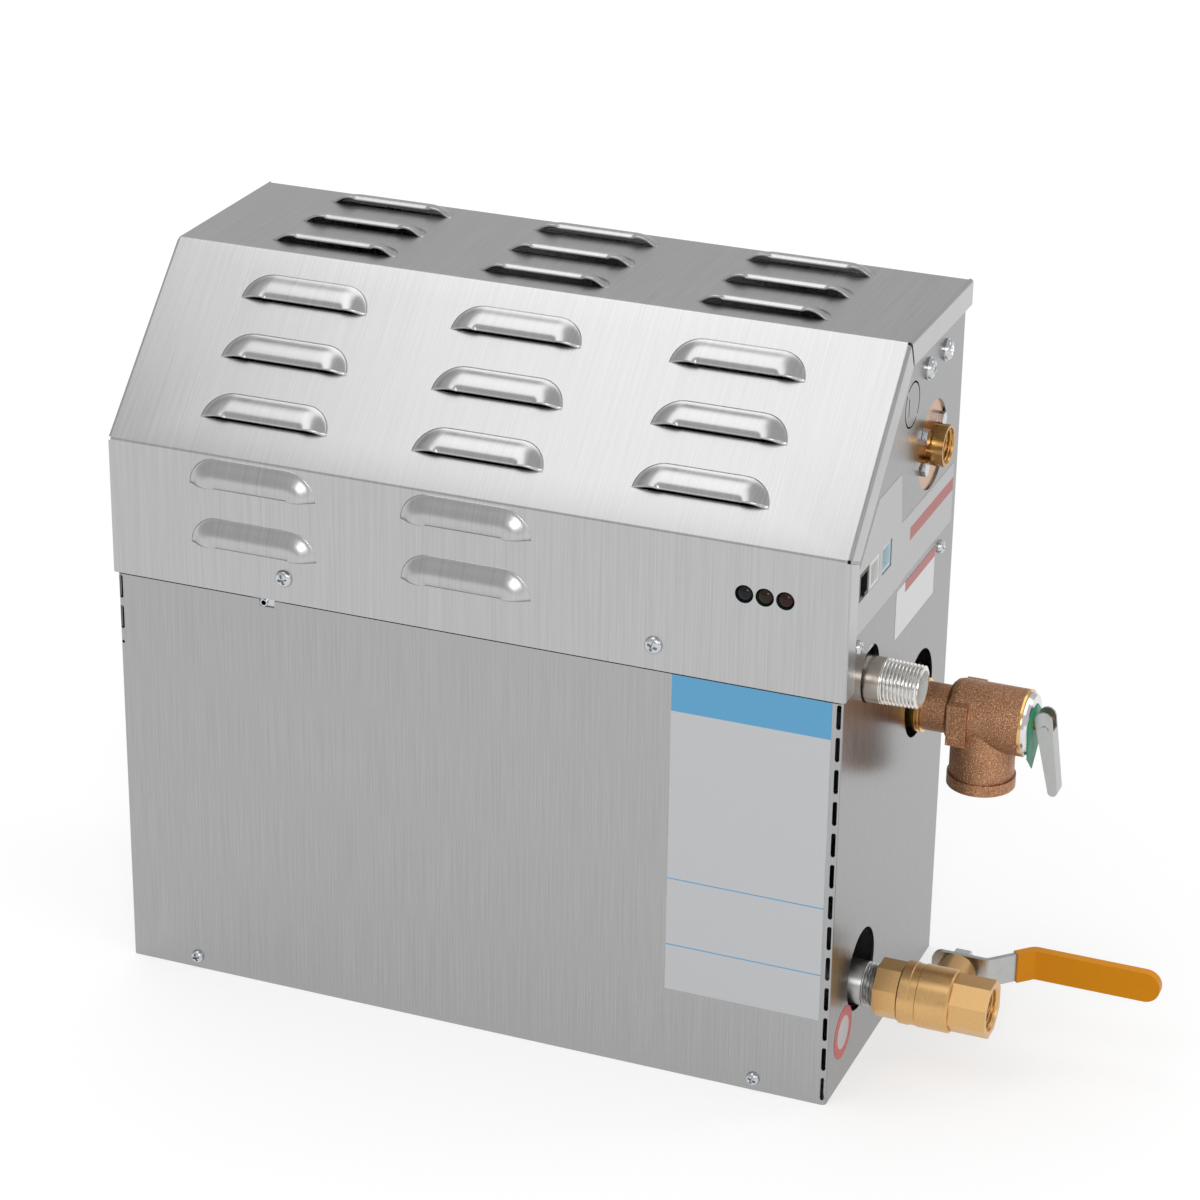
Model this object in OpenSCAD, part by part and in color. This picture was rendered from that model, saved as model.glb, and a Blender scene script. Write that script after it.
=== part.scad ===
// Steam generator: a folded stainless cabinet on a water tank, with its valves and pipes on the right.
// The origin is the middle of the cabinet's bottom, the front faces -Y and the connections face +X.
// A "y" size is measured back from the front sheet, an "out" size outwards from the right side sheet.

/* [Enclosure] */
// Width over the two side sheets
body_w = 377.3; // [370:0.1:390]
// Depth from the front sheet to the back
body_d = 172; // [170:0.5:180]
// Thickness of the cabinet's sheet
sheet = 1; // [0.8:0.1:1.2]
// Outer radius of the bends in the sheet
bend_r = 2; // [1.8:0.1:2.4]
// Height of the seam between the lower wrap and the cover
seam_z = 215.4; // [214:0.1:217]
// Open gap along the seam
seam_gap = 0.5; // [0.3:0.1:1]
// Height at which the cover folds back
fold_z = 286.3; // [285:0.1:292]
// Height of the top
top_z = 365.3; // [360:0.1:372]
// Depth that the slope takes up
slant_run = 78.5; // [74:0.5:80]
// Width of the return flanges at the back
return_w = 12; // [8:0.5:14]
// Height of the base pan's flanges
pan_flange = 14; // [12:0.5:18]
// Height of the electrical shelf
shelf_z = 223.5; // [223:0.1:224.5]
// Height of the shelf's flanges
shelf_flange = 20; // [18:0.5:24]
// Clearance of the side sheets' edges inside the cover
cover_play = 0.3; // [0.2:0.1:0.6]

/* [Cover] */
// Width that the cover has to spare over the body
cover_slack = 1.7; // [1:0.1:2.4]
// How far the cover stands out behind the back
rear_reach = 6; // [4:0.5:8]
// Height of the cover's side flanges and rear lip
flange_h = 13; // [10:0.5:14]
// Width of the slit between two flanges at a fold
mitre_gap = 1.7; // [1.7:0.1:2.4]
// Distance of the cover screws from the cover's middle
cover_screw_x = 96; // [80:1:120]
// Height of the cover screws
cover_screw_z = 228; // [227.5:0.1:230]
// Distance of the middle lamp from the cover's middle
lamp_x = 149.8; // [145:0.1:152]
// Height of the lamps
lamp_z = 261.8; // [259:0.1:264]
// Distance between lamps
lamp_pitch = 10; // [9.6:0.1:11]
// Radius of a lamp's hole
lamp_hole_r = 4.5; // [4:0.1:4.7]

/* [Louvres] */
// Length over a louvre's rounded ends
louvre_l = 66; // [50:1:80]
// Depth from a louvre's lip to its root
louvre_d = 14; // [11:0.5:14]
// Height of the lip over the sheet
louvre_h = 5.5; // [4:0.5:7]
// Distance between columns of louvres
louvre_pitch = 112; // [90:1:118]
// Distance of the slope's first lip below the top fold
slant_row = 27.5; // [24:0.5:30]
// Distance between rows on the slope
slant_step = 32.5; // [24:0.5:34]
// Distance of the top's first lip behind the top fold
top_row = 14.5; // [4:0.5:16]
// Distance between rows on the top
top_step = 33.5; // [24:0.5:33.5]
// Distance of the front's first lip below the lower fold
front_row = 16.3; // [16:0.1:18]
// Distance between rows on the front
front_step = 31; // [22:0.5:32]

/* [Lower wrap] */
// Length of a fold slot
slot_l = 12.8; // [10:0.1:14]
// Width of a fold slot
slot_w = 2.2; // [1.6:0.1:2.4]
// Distance of a fold slot from the side's outer face
slot_inset = 0.6; // [0.4:0.1:0.8]
// Distance between fold slots
slot_pitch = 16.6; // [15:0.1:16.6]
// Number of slots along the right fold
slot_count = 13; // [8:1:13]
// Distance of the first slot below the edge
slot_start = 0.4; // [0.4:0.1:1]
// Height of the small hole at the left fold
pin_hole_z = 178; // [170:1:179]
// Radius of that hole
pin_hole_r = 0.8; // [0.5:0.1:1]
// Distance of the locating notch from the middle
notch_x = 105.5; // [100:0.5:115]
// Width of the notch
notch_w = 8; // [7:0.5:10]
// Depth of the notch
notch_h = 3.7; // [3.4:0.1:4.4]
// Distance of the base screws from the middle
base_screw_x = 151.5; // [130:0.5:160]
// Height of the base screws
base_screw_z = 6.5; // [6.5:0.1:9]

/* [Side openings] */
// Side of a square port hole
port_w = 14; // [13.5:0.1:14.4]
// Height of the ports' lower edge
port_z = 259; // [259:0.1:260]
// Distance back to the middle of the remote socket
remote_y = 24; // [23:0.5:24]
// Distance back to the middle of the white port
white_y = 39.5; // [39.5:0.5:41]
// Distance back to the middle of the blue port
blue_y = 58.5; // [57:0.5:62]
// Radius of the hole round the steam pipe
steam_hole_r = 14.1; // [13.9:0.1:16]
// Height of that hole over the pipe's axis
steam_hole_rise = 2.6; // [0:0.1:2.7]
// Radius of the hole round the safety valve's neck
relief_hole_r = 22.5; // [20:0.1:24]
// Height of that hole over the valve's axis
relief_hole_rise = 5.8; // [0:0.1:6]
// Radius of the hole round the water inlet
inlet_hole_r = 22.4; // [22.2:0.1:23]
// Drop of that hole below the inlet's axis
inlet_hole_drop = 1.5; // [0:0.1:1.5]
// Distance of that hole behind the inlet's axis
inlet_hole_back = 2.6; // [0:0.1:2.6]
// Radius of the hole over the drain pipe
drain_hole_r = 21; // [20.6:0.1:22]
// Height of that hole over the pipe's axis
drain_hole_rise = 9; // [0:0.5:9]
// Distance of that hole in front of the pipe's axis
drain_hole_front = 2.5; // [0:0.1:2.5]
// Distance back to the knockout
knockout_y = 87.8; // [84:0.1:88]
// Height of the knockout
knockout_z = 331.6; // [328:0.1:334]
// Radius of the knockout
knockout_r = 11; // [9:0.1:12]
// Width of a thin cut
cut_w = 0.9; // [0.6:0.1:1.2]
// Length of the pry slot in the knockout
pry_l = 9; // [7:0.5:10]
// Distance back to the front screws of the shelf
shelf_screw_front = 19; // [18:0.5:22]
// Distance back to the rear screws of the shelf
shelf_screw_back = 148; // [140:0.5:155]
// Height of the shelf's side screws
shelf_screw_z = 236; // [230:0.5:237]
// Distance of the screws in the back from the middle
back_screw_x = 130; // [100:1:150]

/* [Screws] */
// Radius of a sheet screw's shank
screw_r = 2; // [1.8:0.1:2.2]
// Length of a sheet screw's shank
screw_l = 8; // [6:0.5:9]
// Clearance of screws in their holes, and between fixed pieces that fit together
hole_play = 0.1; // [0.05:0.01:0.15]
// Gap between pieces that move past each other
moving_gap = 0.3; // [0.3:0.05:0.4]
// Radius of the cover screws' heads
big_head_r = 4.5; // [4:0.1:5]
// Radius of the other sheet screws' heads
small_head_r = 3.5; // [3.2:0.1:4]
// Height of a sheet screw's head
head_h = 2.4; // [2:0.1:2.8]
// Radius of a bracket screw's washer
washer_r = 5.5; // [5.2:0.1:6]
// Thickness of a bracket screw's washer
washer_h = 1; // [0.8:0.1:1.2]
// Radius of a bracket screw's head
bracket_head_r = 5; // [4.2:0.1:5.1]
// Radius of the rivet nut in the notch
rivet_r = 2.1; // [1.8:0.1:2.4]
// Bore of the rivet nut
rivet_bore_r = 1.3; // [1:0.1:1.5]

/* [Steam outlet] */
// Distance back to the steam pipe's axis
steam_y = 40; // [39.5:0.5:41]
// Height of the steam pipe's axis
steam_z = 211.3; // [211:0.1:212]
// Outer radius of the half-inch pipes
pipe_r = 11.1; // [10.9:0.1:11.2]
// Bore of the half-inch pipes
pipe_bore_r = 8; // [7:0.1:8.6]
// Radius over the pipe's thread
thread_r = 10.67; // [10.4:0.01:10.8]
// Where the steam pipe's thread starts, out from the side
steam_thread_out = 7.5; // [4:0.5:9]
// Where the steam pipe ends, out from the side
steam_out = 26.3; // [22:0.1:28]
// Distance of the steam pipe's foot right of the middle
steam_x = 95; // [85:1:97]

/* [Safety valve] */
// Distance back to the safety valve's axis
relief_y = 124; // [123.5:0.5:126]
// Height of the safety valve's axis
relief_z = 161.1; // [160:0.1:163]
// Radius of the bushing's collar
collar_r = 13.6; // [13:0.1:15]
// Length of the bushing's collar
collar_l = 5; // [4:0.5:6]
// How far the collar stands out of the side
collar_out = 1.5; // [1:0.1:2]
// Radius of the valve's neck
neck_r = 12.1; // [11.6:0.1:12.6]
// Where the neck ends, out from the side
neck_out = 17; // [16:0.5:18]
// Radius of the spigot that screws into the bushing
spigot_r = 9; // [8.8:0.1:9.4]
// Length of that spigot
spigot_l = 12; // [10:0.5:14]
// Radius of the valve's body
relief_r = 16.8; // [16.5:0.1:17.4]
// Rounding of the body's shoulder
shoulder_r = 5; // [3:0.5:6]
// Where the body ends, out from the side
relief_out = 56.1; // [55:0.1:57]
// Radius of the chamber
chamber_r = 12.5; // [12:0.1:13]
// Bore of the inlet passage
seat_r = 6; // [5:0.1:6.5]
// Where the seat lies, out from the side
seat_out = 24; // [23:0.1:25]
// Distance of the outlet's axis out from the side
outlet_out = 34.4; // [33:0.1:36]
// Outer radius of the outlet
outlet_r = 16.2; // [15.8:0.1:16.5]
// Outer radius of the outlet's rim
rim_r = 17.15; // [16.8:0.05:17.3]
// Height of the rim
rim_h = 6; // [5:0.1:7]
// Distance of the outlet's end below the axis
outlet_drop = 36.6; // [35:0.1:38]
// Radius of the outlet's threaded hole
outlet_bore_r = 12; // [11.5:0.1:12.4]
// Length of a wrench pad along the valve
pad_l = 10; // [8:0.5:12]
// Height of a wrench pad
pad_h = 21.4; // [18:0.1:24]
// Width over the two wrench pads
pad_w = 36.6; // [35.5:0.1:37.5]
// Where the pads begin, out from the side
pad_out = 20; // [19:0.5:22]
// Radius of the cap
cap_r = 15.8; // [15:0.1:16.4]
// Thickness of the cap
cap_h = 3.2; // [2.6:0.1:3.4]
// Radius of the valve's stem
stem_r = 2.2; // [2:0.1:2.3]
// Radial clearance of sliding and turning shafts
running_play = 0.05; // [0.03:0.01:0.08]
// Radius of the disc on the seat
disc_r = 8; // [7.5:0.1:9]
// Thickness of the disc
disc_h = 3; // [2.5:0.1:4]
// Distance of the lever's pin out from the side
pin_out = 65.8; // [65.6:0.1:66.5]
// Radius of the lever's pin
pin_r = 1.2; // [1:0.1:1.3]
// How far the stem reaches past the pin
stem_past = 1.9; // [1.7:0.1:1.9]
// Width over the lever's cheeks
lever_w = 9; // [8.6:0.1:9.6]
// Thickness of the lever's sheet
lever_sheet = 1.2; // [1:0.1:1.3]
// Radius of the lever's head
lever_head_r = 4.4; // [4.4:0.1:4.6]
// Distance of the head's middle above the pin
lever_head_up = 4.6; // [3.5:0.1:4.6]
// Radius of the lever's tip
lever_tip_r = 2.5; // [2:0.1:3]
// Distance of the tip's middle below the pin
lever_tip_down = 33.2; // [28:0.1:36]
// Tilt of the lever at rest
lever_tilt = 10.5; // [8:0.5:11]
// Thickness of the tag
tag_h = 0.5; // [0.3:0.1:0.5]
// Width of the tag
tag_w = 21; // [16:0.5:24]
// Reach of the tag above the axis
tag_up = 9; // [7:0.5:11]
// Reach of the tag below the axis
tag_down = 24; // [20:0.5:28]
// Wire radius of the valve's spring
spring_wire_r = 0.9; // [0.7:0.1:1]
// Radius of the spring's coils
spring_coil_r = 7; // [6:0.1:7.4]

/* [Drain valve] */
// Distance back to the drain's axis
drain_y = 51; // [50:0.5:51.5]
// Height of the drain's axis
drain_z = 41.5; // [41:0.1:42.5]
// Gap between the side and the valve
valve_gap = 9.5; // [8:0.1:11]
// Width across the flats of the valve's octagons
valve_af = 27; // [26:0.1:28]
// Length of the octagon on the pipe's side
inner_oct_l = 12.3; // [11:0.1:13]
// Radius of the barrel
barrel_r = 15.7; // [15.4:0.1:16.4]
// Length of the barrel
barrel_l = 26.2; // [25.4:0.1:27.5]
// Depth of the grooves round the barrel
groove = 0.4; // [0.2:0.1:0.6]
// Length of the octagon at the outlet
outer_oct_l = 18.7; // [17:0.1:20]
// Depth of the socket for the pipe
socket_l = 10; // [8:0.1:10]
// Radius of the outlet's threaded hole
drain_bore_r = 9.5; // [9:0.1:10]
// Depth of the outlet's threaded hole
drain_bore_l = 14; // [12:0.1:14]
// Distance of the ball's middle before the barrel's end
ball_back = 8; // [7.5:0.1:8.5]
// Radius of the ball
ball_r = 9; // [8.8:0.1:9.2]
// Bore of the ball and seats
waterway_r = 6; // [5:0.1:6]
// Radius of the seats and the ball's chamber
seat_ring_r = 9.8; // [9.7:0.1:10]
// Distance of the seats' outer faces from the ball's middle
seat_reach = 10; // [9.8:0.1:10.2]
// Distance of the seats' inner faces from the ball's middle
seat_near = 5.5; // [5.2:0.1:6]
// Radius of the end piece's spigot
end_spigot_r = 12.5; // [12:0.1:12.6]
// Length of the end piece's spigot
end_spigot_l = 4; // [3.5:0.1:4.5]
// Radius of the boss round the stem
boss_r = 9.7; // [9:0.1:10]
// Distance of the boss's end from the axis
boss_reach = 28.5; // [27:0.1:29]
// Radius of the drain valve's stem
valve_stem_r = 3.5; // [3.2:0.1:3.6]
// Thickness of the tang that turns the ball
tang = 2.8; // [2.4:0.1:3]
// Depth of the slot in the ball
ball_slot = 2; // [1.5:0.1:2.2]
// Width across the flats of the packing nut
gland_af = 12; // [11:0.1:13]
// How deep the packing nut sits in the boss
gland_l = 6; // [5:0.5:7]
// Distance of the handle's plate from the axis
plate_reach = 32; // [31.8:0.1:33]
// Thickness of the handle's plate
plate_h = 2.5; // [2.2:0.1:3]
// Width of the handle's plate
plate_w = 15; // [13.5:0.1:16]
// Bend radius of the plate's outer side
plate_bend = 5; // [4:0.1:6]
// Reach of the plate towards the cabinet
plate_back = 14; // [12:0.1:14]
// Where the plate leaves its flat
knee_in = 13.5; // [12:0.1:14]
// Where the handle comes level again
knee_out = 32.5; // [30:0.1:32.5]
// Where the handle ends
handle_l = 96; // [85:1:100]
// Where the sleeve begins
sleeve_start = 24.5; // [23:0.1:26]
// Wall of the sleeve
sleeve_wall = 1.2; // [1:0.1:1.3]
// Width that the sleeve adds on each edge
sleeve_edge = 0.4; // [0.3:0.1:0.8]
// Width across the flats of the handle's nut
nut_af = 13; // [12:0.1:14]
// Height of the handle's nut
nut_h = 5.5; // [5:0.1:6.5]

/* [Water inlet] */
// Distance back to the inlet's axis
inlet_y = 122.3; // [122:0.1:123]
// Height of the inlet's axis
inlet_z = 299.8; // [299.5:0.1:300.5]
// Radius of the inlet's boss
inlet_boss_r = 10.35; // [10:0.05:11]
// How far the boss stands out of the side
inlet_out = 8.8; // [7:0.1:10]
// Radius of the inlet's threaded hole
inlet_bore_r = 7.6; // [7:0.1:8.2]
// Depth of the inlet's threaded hole
inlet_bore_l = 11; // [10:0.1:12]
// Width of the flange behind the side
flange_w = 42; // [41:0.5:43]
// Height of that flange
flange_tall = 47; // [46:0.5:48]
// Rounding of the flange's corners
flange_corner = 8; // [6:0.5:9]
// Thickness of the flange
flange_t = 4; // [3.5:0.1:5]
// Distance between the flange screws along the side
flange_screw_w = 25.6; // [25.4:0.1:25.8]
// Distance between the flange screws in height
flange_screw_h = 16; // [15.8:0.1:16.2]
// Radius of a flange screw's shank
flange_screw_r = 2.2; // [2:0.1:2.5]
// Width across the flats of a flange screw
flange_screw_af = 7; // [6:0.1:7]
// Height of a flange screw's head
flange_head_h = 3.6; // [3:0.1:4]
// Length of the valve block behind the flange
block_l = 38; // [36:0.5:40]
// Width of the valve block
block_w = 24; // [22:0.5:25]
// Height of the valve block above and below the axis
block_half = 11; // [10:0.1:11]
// Distance of the coil's axis behind the side sheet
coil_in = 26; // [25:0.5:27]
// Side of the coil
coil_w = 28; // [26:0.5:30]
// Height of the coil
coil_h = 22; // [20:0.5:22]
// Radius of the plunger
plunger_r = 4; // [3.6:0.1:4.2]
// Wall of the tube round the plunger
guide_wall = 1.2; // [1:0.1:1.5]
// How far the plunger's tube stands over the coil
guide_over = 5; // [4.5:0.1:6]
// Length of the plunger
plunger_l = 16; // [14:0.5:17]
// Radius of the fill valve's passages
passage_r = 3; // [2.5:0.1:3]
// Height of the fill valve's seat over the axis
fill_seat_up = 4.4; // [4.2:0.1:4.6]
// Distance of the fill tube right of the middle
tube_x = 100; // [80:1:104]
// Outer radius of the fill tube
tube_r = 4; // [3.5:0.1:4.5]
// Wall of the fill tube
tube_wall = 1; // [0.8:0.1:1.2]
// Bend radius of the fill tube
tube_bend = 15; // [12:0.5:17]
// Thickness of the bracket
bracket_t = 1.5; // [1.2:0.1:2]
// Height of the bracket's upright leg
bracket_h = 17; // [16:0.5:20]
// Distance back to the first bracket screw
bracket_screw_front = 111.5; // [110:0.5:113]
// Distance back to the second bracket screw
bracket_screw_back = 139.6; // [138:0.1:141]
// Height of the bracket screws
bracket_screw_z = 341.7; // [340.5:0.1:343]

/* [Tank] */
// Reach of the tank left of the middle
tank_left = 150; // [145:1:152]
// Reach of the tank right of the middle
tank_right = 120; // [118:1:124]
// Depth of the tank
tank_d = 138; // [134:1:142]
// Height of the tank's underside
tank_bottom = 22; // [20:0.5:24]
// Height of the tank's top
tank_top = 192; // [190:0.5:193]
// Wall of the tank
tank_wall = 1.5; // [1.2:0.1:2]
// Rounding of the tank's upright corners
tank_corner = 14; // [12:1:20]
// Width of a saddle's top
saddle_w = 26; // [20:1:32]
// Width of a saddle's feet
saddle_foot = 12; // [8:1:14]
// Distance of a saddle from the tank's middle
saddle_x = 85; // [70:1:100]
// Height of the heater's middle
heater_z = 75; // [72:0.5:85]
// Radius of the heater's flange
heater_flange_r = 45; // [42:0.5:46]
// Thickness of the heater's flange
heater_flange_t = 6; // [5:0.5:8]
// Thickness of the heater's gasket
gasket_t = 2; // [1.5:0.1:3]
// Radius of the hole for the heater
heater_hole_r = 34; // [33:0.5:35]
// Radius of the heater's bolt circle
bolt_circle_r = 39.5; // [39:0.1:40]
// Radius of a heater bolt
bolt_r = 2.5; // [2:0.1:3]
// Width across the flats of a heater bolt
bolt_af = 8; // [7:0.1:9]
// Radius of a heating rod
rod_r = 4.2; // [3.5:0.1:4.5]
// Bend radius of a heating rod
rod_bend = 13; // [11:0.5:14]
// Distance between heating rods in height
rod_step = 21; // [18:0.5:22]
// Length of a heating rod in the tank
rod_l = 215; // [180:1:220]
// How far a heating rod's ends stand out of the flange
rod_end = 12; // [8:0.5:14]
// Distance of the level probe left of the middle
probe_x = 60; // [40:1:80]
// Radius of the level probe
probe_r = 2.5; // [2:0.1:3]
// Length of the level probe in the tank
probe_l = 110; // [80:1:130]
// Width across the flats of the probe's boss
probe_af = 22; // [19:0.5:24]
// Height of the probe's boss
probe_h = 8; // [6:0.5:9]
// Height of the probe's terminal
probe_end = 12; // [10:0.5:14]
// Radius of the cut-out
cutout_r = 11; // [9:0.5:12]
// Height of the cut-out
cutout_h = 9; // [7:0.5:10]

/* [Electrics] */
// Length of the control board
board_l = 156; // [150:1:156]
// Depth of the control board
board_d = 98; // [90:1:98]
// Thickness of the boards
board_t = 1.6; // [1.4:0.1:2]
// Height of the control board over the shelf
board_up = 31.9; // [31.5:0.1:32]
// Distance of the lamp board behind the front
lamp_board_y = 6; // [5.5:0.1:7]
// Radius of a lamp
lamp_r = 4.2; // [3.8:0.1:4.3]
// How far a lamp stands out of the front
lamp_out = 0.6; // [0:0.1:1]
// Radius of a standoff
post_r = 3; // [2.5:0.1:3.5]
// Depth of the three sockets behind the side
socket_depth = 19; // [16:0.5:20]
// Wall of the three sockets
socket_wall = 2; // [1.5:0.1:2.4]
// Depth of the open mouth of a socket
mouth_depth = 11; // [9:0.5:12]
// Side of a contactor
contactor_w = 44; // [40:1:46]
// Depth of the contactor
contactor_d = 58; // [50:1:60]
// Height of the contactor
contactor_h = 46; // [40:1:50]
// Travel that the contactor's armature needs
armature_travel = 3; // [2:0.1:3.5]
// Side of the armature's shank
armature_w = 18; // [14:0.5:20]
// Width of the transformer's core
core_w = 60; // [54:1:64]
// Depth of the transformer's core
core_d = 28; // [24:1:32]
// Height of the transformer's core
core_h = 50; // [44:1:54]
// Length of the terminal block
terminal_l = 80; // [60:1:90]
// Width of the terminal block
terminal_w = 26; // [22:1:28]
// Height of the terminal block
terminal_h = 20; // [16:1:24]

/* [Hidden] */

$fn = 13;
fold_steps = 3;
louvre_steps = 4;
top_rows = 3;
front_rows = 2;
left_slots = 2;
over = 1;
octagon = 8;
hexagon = 6;

STEEL = [0.70, 0.70, 0.71];
ZINC = [0.62, 0.65, 0.68];
CHROME = [0.86, 0.87, 0.89];
BRASS = [0.72, 0.55, 0.30];
BRONZE = [0.60, 0.42, 0.31];
GREEN = [0.05, 0.55, 0.36];
YELLOW = [0.93, 0.62, 0.06];
BLACK = [0.08, 0.08, 0.09];
WHITE = [0.92, 0.92, 0.90];
PALE_BLUE = [0.62, 0.80, 0.85];
BOARD_GREEN = [0.08, 0.33, 0.18];
COPPER = [0.72, 0.42, 0.24];

side_x = body_w / 2;
front_y = -body_d / 2;
back_y = body_d / 2;
cover_w = body_w + 2 * sheet + cover_slack;
cover_x = -cover_slack / 2;
cover_back = back_y + rear_reach;
fold_y = front_y + slant_run;
slope = atan2(top_z - fold_z, slant_run);
slope_l = norm([slant_run, top_z - fold_z]);
cover_path = [[front_y, seam_z], [front_y, fold_z], [fold_y, top_z], [cover_back, top_z],
    [cover_back, top_z - flange_h]];
wrap_z = seam_z - seam_gap;
edge_in = bend_r + cover_play;
side_top = top_z - edge_in;
side_top_y = front_y + ((side_top - fold_z) * cos(slope) + edge_in) / sin(slope);
side_fold_z = fold_z + edge_in * (sin(slope) - 1) / cos(slope);
inner_w = body_w - 2 * sheet;
inner_d = body_d - 3 * sheet;
inner_y = -sheet / 2;
screw_hole_r = screw_r + hole_play;
shelf_top = shelf_z + sheet;
louvre_straight = louvre_l - 2 * louvre_d;
louvre_foot = sheet / 5;
elbow_r = steam_z - tank_top;
ball_out = valve_gap + inner_oct_l + barrel_l - ball_back;
barrel_start = valve_gap + inner_oct_l;
barrel_end = barrel_start + barrel_l;
valve_end = barrel_end + outer_oct_l;
plate_top = plate_reach + plate_h;
coil_x = side_x - sheet - coil_in;
block_top = inlet_z + block_half;
guide_top = block_top + coil_h + guide_over;
guide_r = plunger_r + running_play;
guide_outer_r = guide_r + guide_wall;
fill_seat_z = inlet_z + fill_seat_up;
block_left = side_x - sheet - flange_t - block_l;
board_z = shelf_top + board_up;
board_top = board_z + board_t;
board_right = side_x - sheet - hole_play;
board_front = front_y + lamp_board_y + board_t;
lamp_dome = lamp_r * 0.7;
lamp_rim = lamp_board_y + lamp_out - lamp_dome;
relay_w = board_d / 5;
fin_step = relay_w / 5;
post_in = 2 * post_r;
comb_step = 1.1;
contactor_x = -110;
contactor_y = -contactor_d / 2;
armature_l = contactor_d * 0.6;
terminal_step = contactor_w / 5;
transformer_x = -50;
transformer_y = -core_d / 2;
terminal_x = -170;
terminal_y = -terminal_l / 2;
barriers = 5;
fill_lift = 2.5;
fill_turns = 6;
relief_turns = 6;
spring_rings = 8;
spring_sides = 5;
riser_in = plunger_r + passage_r;
head_gap = 0.1;
gland_r = boss_r * 0.62;
bracket_edge = 10;
saddle_mid = (tank_right - tank_left) / 2;
tank_back = tank_d / 2;
hat_half = saddle_w / 2;
hat_h = tank_bottom - sheet;
hat_outline = [[-hat_half - saddle_foot, 0], [tank_wall - hat_half, 0], [tank_wall - hat_half, hat_h - tank_wall],
    [hat_half - tank_wall, hat_h - tank_wall], [hat_half - tank_wall, 0], [hat_half + saddle_foot, 0],
    [hat_half + saddle_foot, tank_wall], [hat_half, tank_wall], [hat_half, hat_h], [-hat_half, hat_h],
    [-hat_half, tank_wall], [-hat_half - saddle_foot, tank_wall]];
handle_path = [[-plate_back, plate_top], [knee_in, plate_top], [knee_out, plate_top + knee_out - knee_in],
    [handle_l, plate_top + knee_out - knee_in]];
sleeve_path = [[sleeve_start, plate_top + sleeve_start - knee_in], handle_path[2],
    handle_path[3] + [sleeve_wall, 0]];

// Place on the body at a distance behind the front
function back(y) = y - body_d / 2;

// Direction of a vector, its left-hand normal, and the points of a sheet line bent at its inner corners
function unit(v) = v / norm(v);
function left_of(v) = [-v[1], v[0]];
function corner(p, a, b, depth, thick, outer_r) = let(
    right = cross(a, b) < 0,
    way = right ? -1 : 1,
    pivot_r = right ? outer_r : outer_r - thick,
    r = right ? outer_r - depth : outer_r - thick + depth,
    na = left_of(a) * way,
    nb = left_of(b) * way,
    pivot = p + (na + nb) * pivot_r / (1 + na * nb))
    [for (i = [0:fold_steps]) pivot - unit(na + (nb - na) * i / fold_steps) * r];
function bent_line(p, depth, thick, outer_r) = let(last = len(p) - 1) concat(
    [p[0] - left_of(unit(p[1] - p[0])) * depth],
    [for (i = [1:last - 1]) each corner(p[i], unit(p[i] - p[i - 1]), unit(p[i + 1] - p[i]), depth, thick, outer_r)],
    [p[last] - left_of(unit(p[last] - p[last - 1])) * depth]);
function turned(list) = [for (i = [len(list) - 1:-1:0]) list[i]];
function bent_sheet(p, thick, outer_r, over_t = 0) =
    concat(bent_line(p, -over_t, thick, outer_r), turned(bent_line(p, thick + over_t, thick, outer_r)));

// Places on the right side, the front, the slope and the top, each with z pointing out of the sheet
module on_side(y, z, out = 0) translate([side_x + out, back(y), z]) rotate([0, 90, 0]) children();
module on_front(x, z, out = 0) translate([x, front_y - out, z]) rotate([90, 0, 0]) children();
module on_back(x, z, out = 0) translate([x, back_y - sheet + out, z]) rotate([-90, 0, 0]) children();
module both_sides() for (way = [0, 1]) mirror([way, 0, 0]) children();

// A ring, and a disc with a hole
module pipe(outer_r, inner_r, length) difference() {
    cylinder(r = outer_r, h = length);
    translate([0, 0, -over]) cylinder(r = inner_r, h = length + 2 * over);
}

// Many-sided prism by its width across flats, with a flat facing -y
module prism(sides, flats, length)
    rotate([0, 0, 180 / sides]) cylinder(d = flats / cos(180 / sides), h = length, $fn = sides);

// Quarter bend about the z axis, from the x axis to the y axis
module bend(length) rotate_extrude(angle = 90) translate([bend_r - sheet, 0]) square([sheet, length]);

// Bend and flange that end a sheet at x = 0: the sheet's outer face is y = 0 and the flange runs to -y
module lip(length, height) {
    translate([-bend_r, -bend_r, 0]) bend(length);
    translate([-sheet, -height, 0]) cube([sheet, height - bend_r, length]);
}

// Tray with four upright flanges and open corners
module tray(height) translate([0, inner_y, 0]) {
    translate([bend_r - inner_w / 2, bend_r - inner_d / 2, 0])
        cube([inner_w - 2 * bend_r, inner_d - 2 * bend_r, sheet]);
    for (turn = [0, 180]) rotate([0, 0, turn]) {
        translate([inner_w / 2, bend_r - inner_d / 2, 0]) rotate([-90, 0, 0]) lip(inner_d - 2 * bend_r, height);
        rotate([0, 0, 90]) translate([inner_d / 2, bend_r - inner_w / 2, 0]) rotate([-90, 0, 0])
            lip(inner_w - 2 * bend_r, height);
    }
}

// Pan head over its shank, seated at z = 0
module pan_screw(head_r, length = screw_l) {
    rotate_extrude() polygon([[0, 0], [head_r, 0], [head_r * 0.8, head_h * 0.8], [0, head_h]]);
    translate([0, 0, -length]) cylinder(r = screw_r, h = length + over / 2);
}

// Hole for a sheet screw, long enough for two sheets and the overrun
module screw_hole() cylinder(r = screw_hole_r, h = 2 * sheet + 2 * over);

// Rounded rectangle about the origin
module rounded(w, h, r) {
    square([w - 2 * r, h], center = true);
    square([w, h - 2 * r], center = true);
    for (x = [-1, 1], y = [-1, 1]) translate([x * (w / 2 - r), y * (h / 2 - r)]) circle(r);
}

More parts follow.
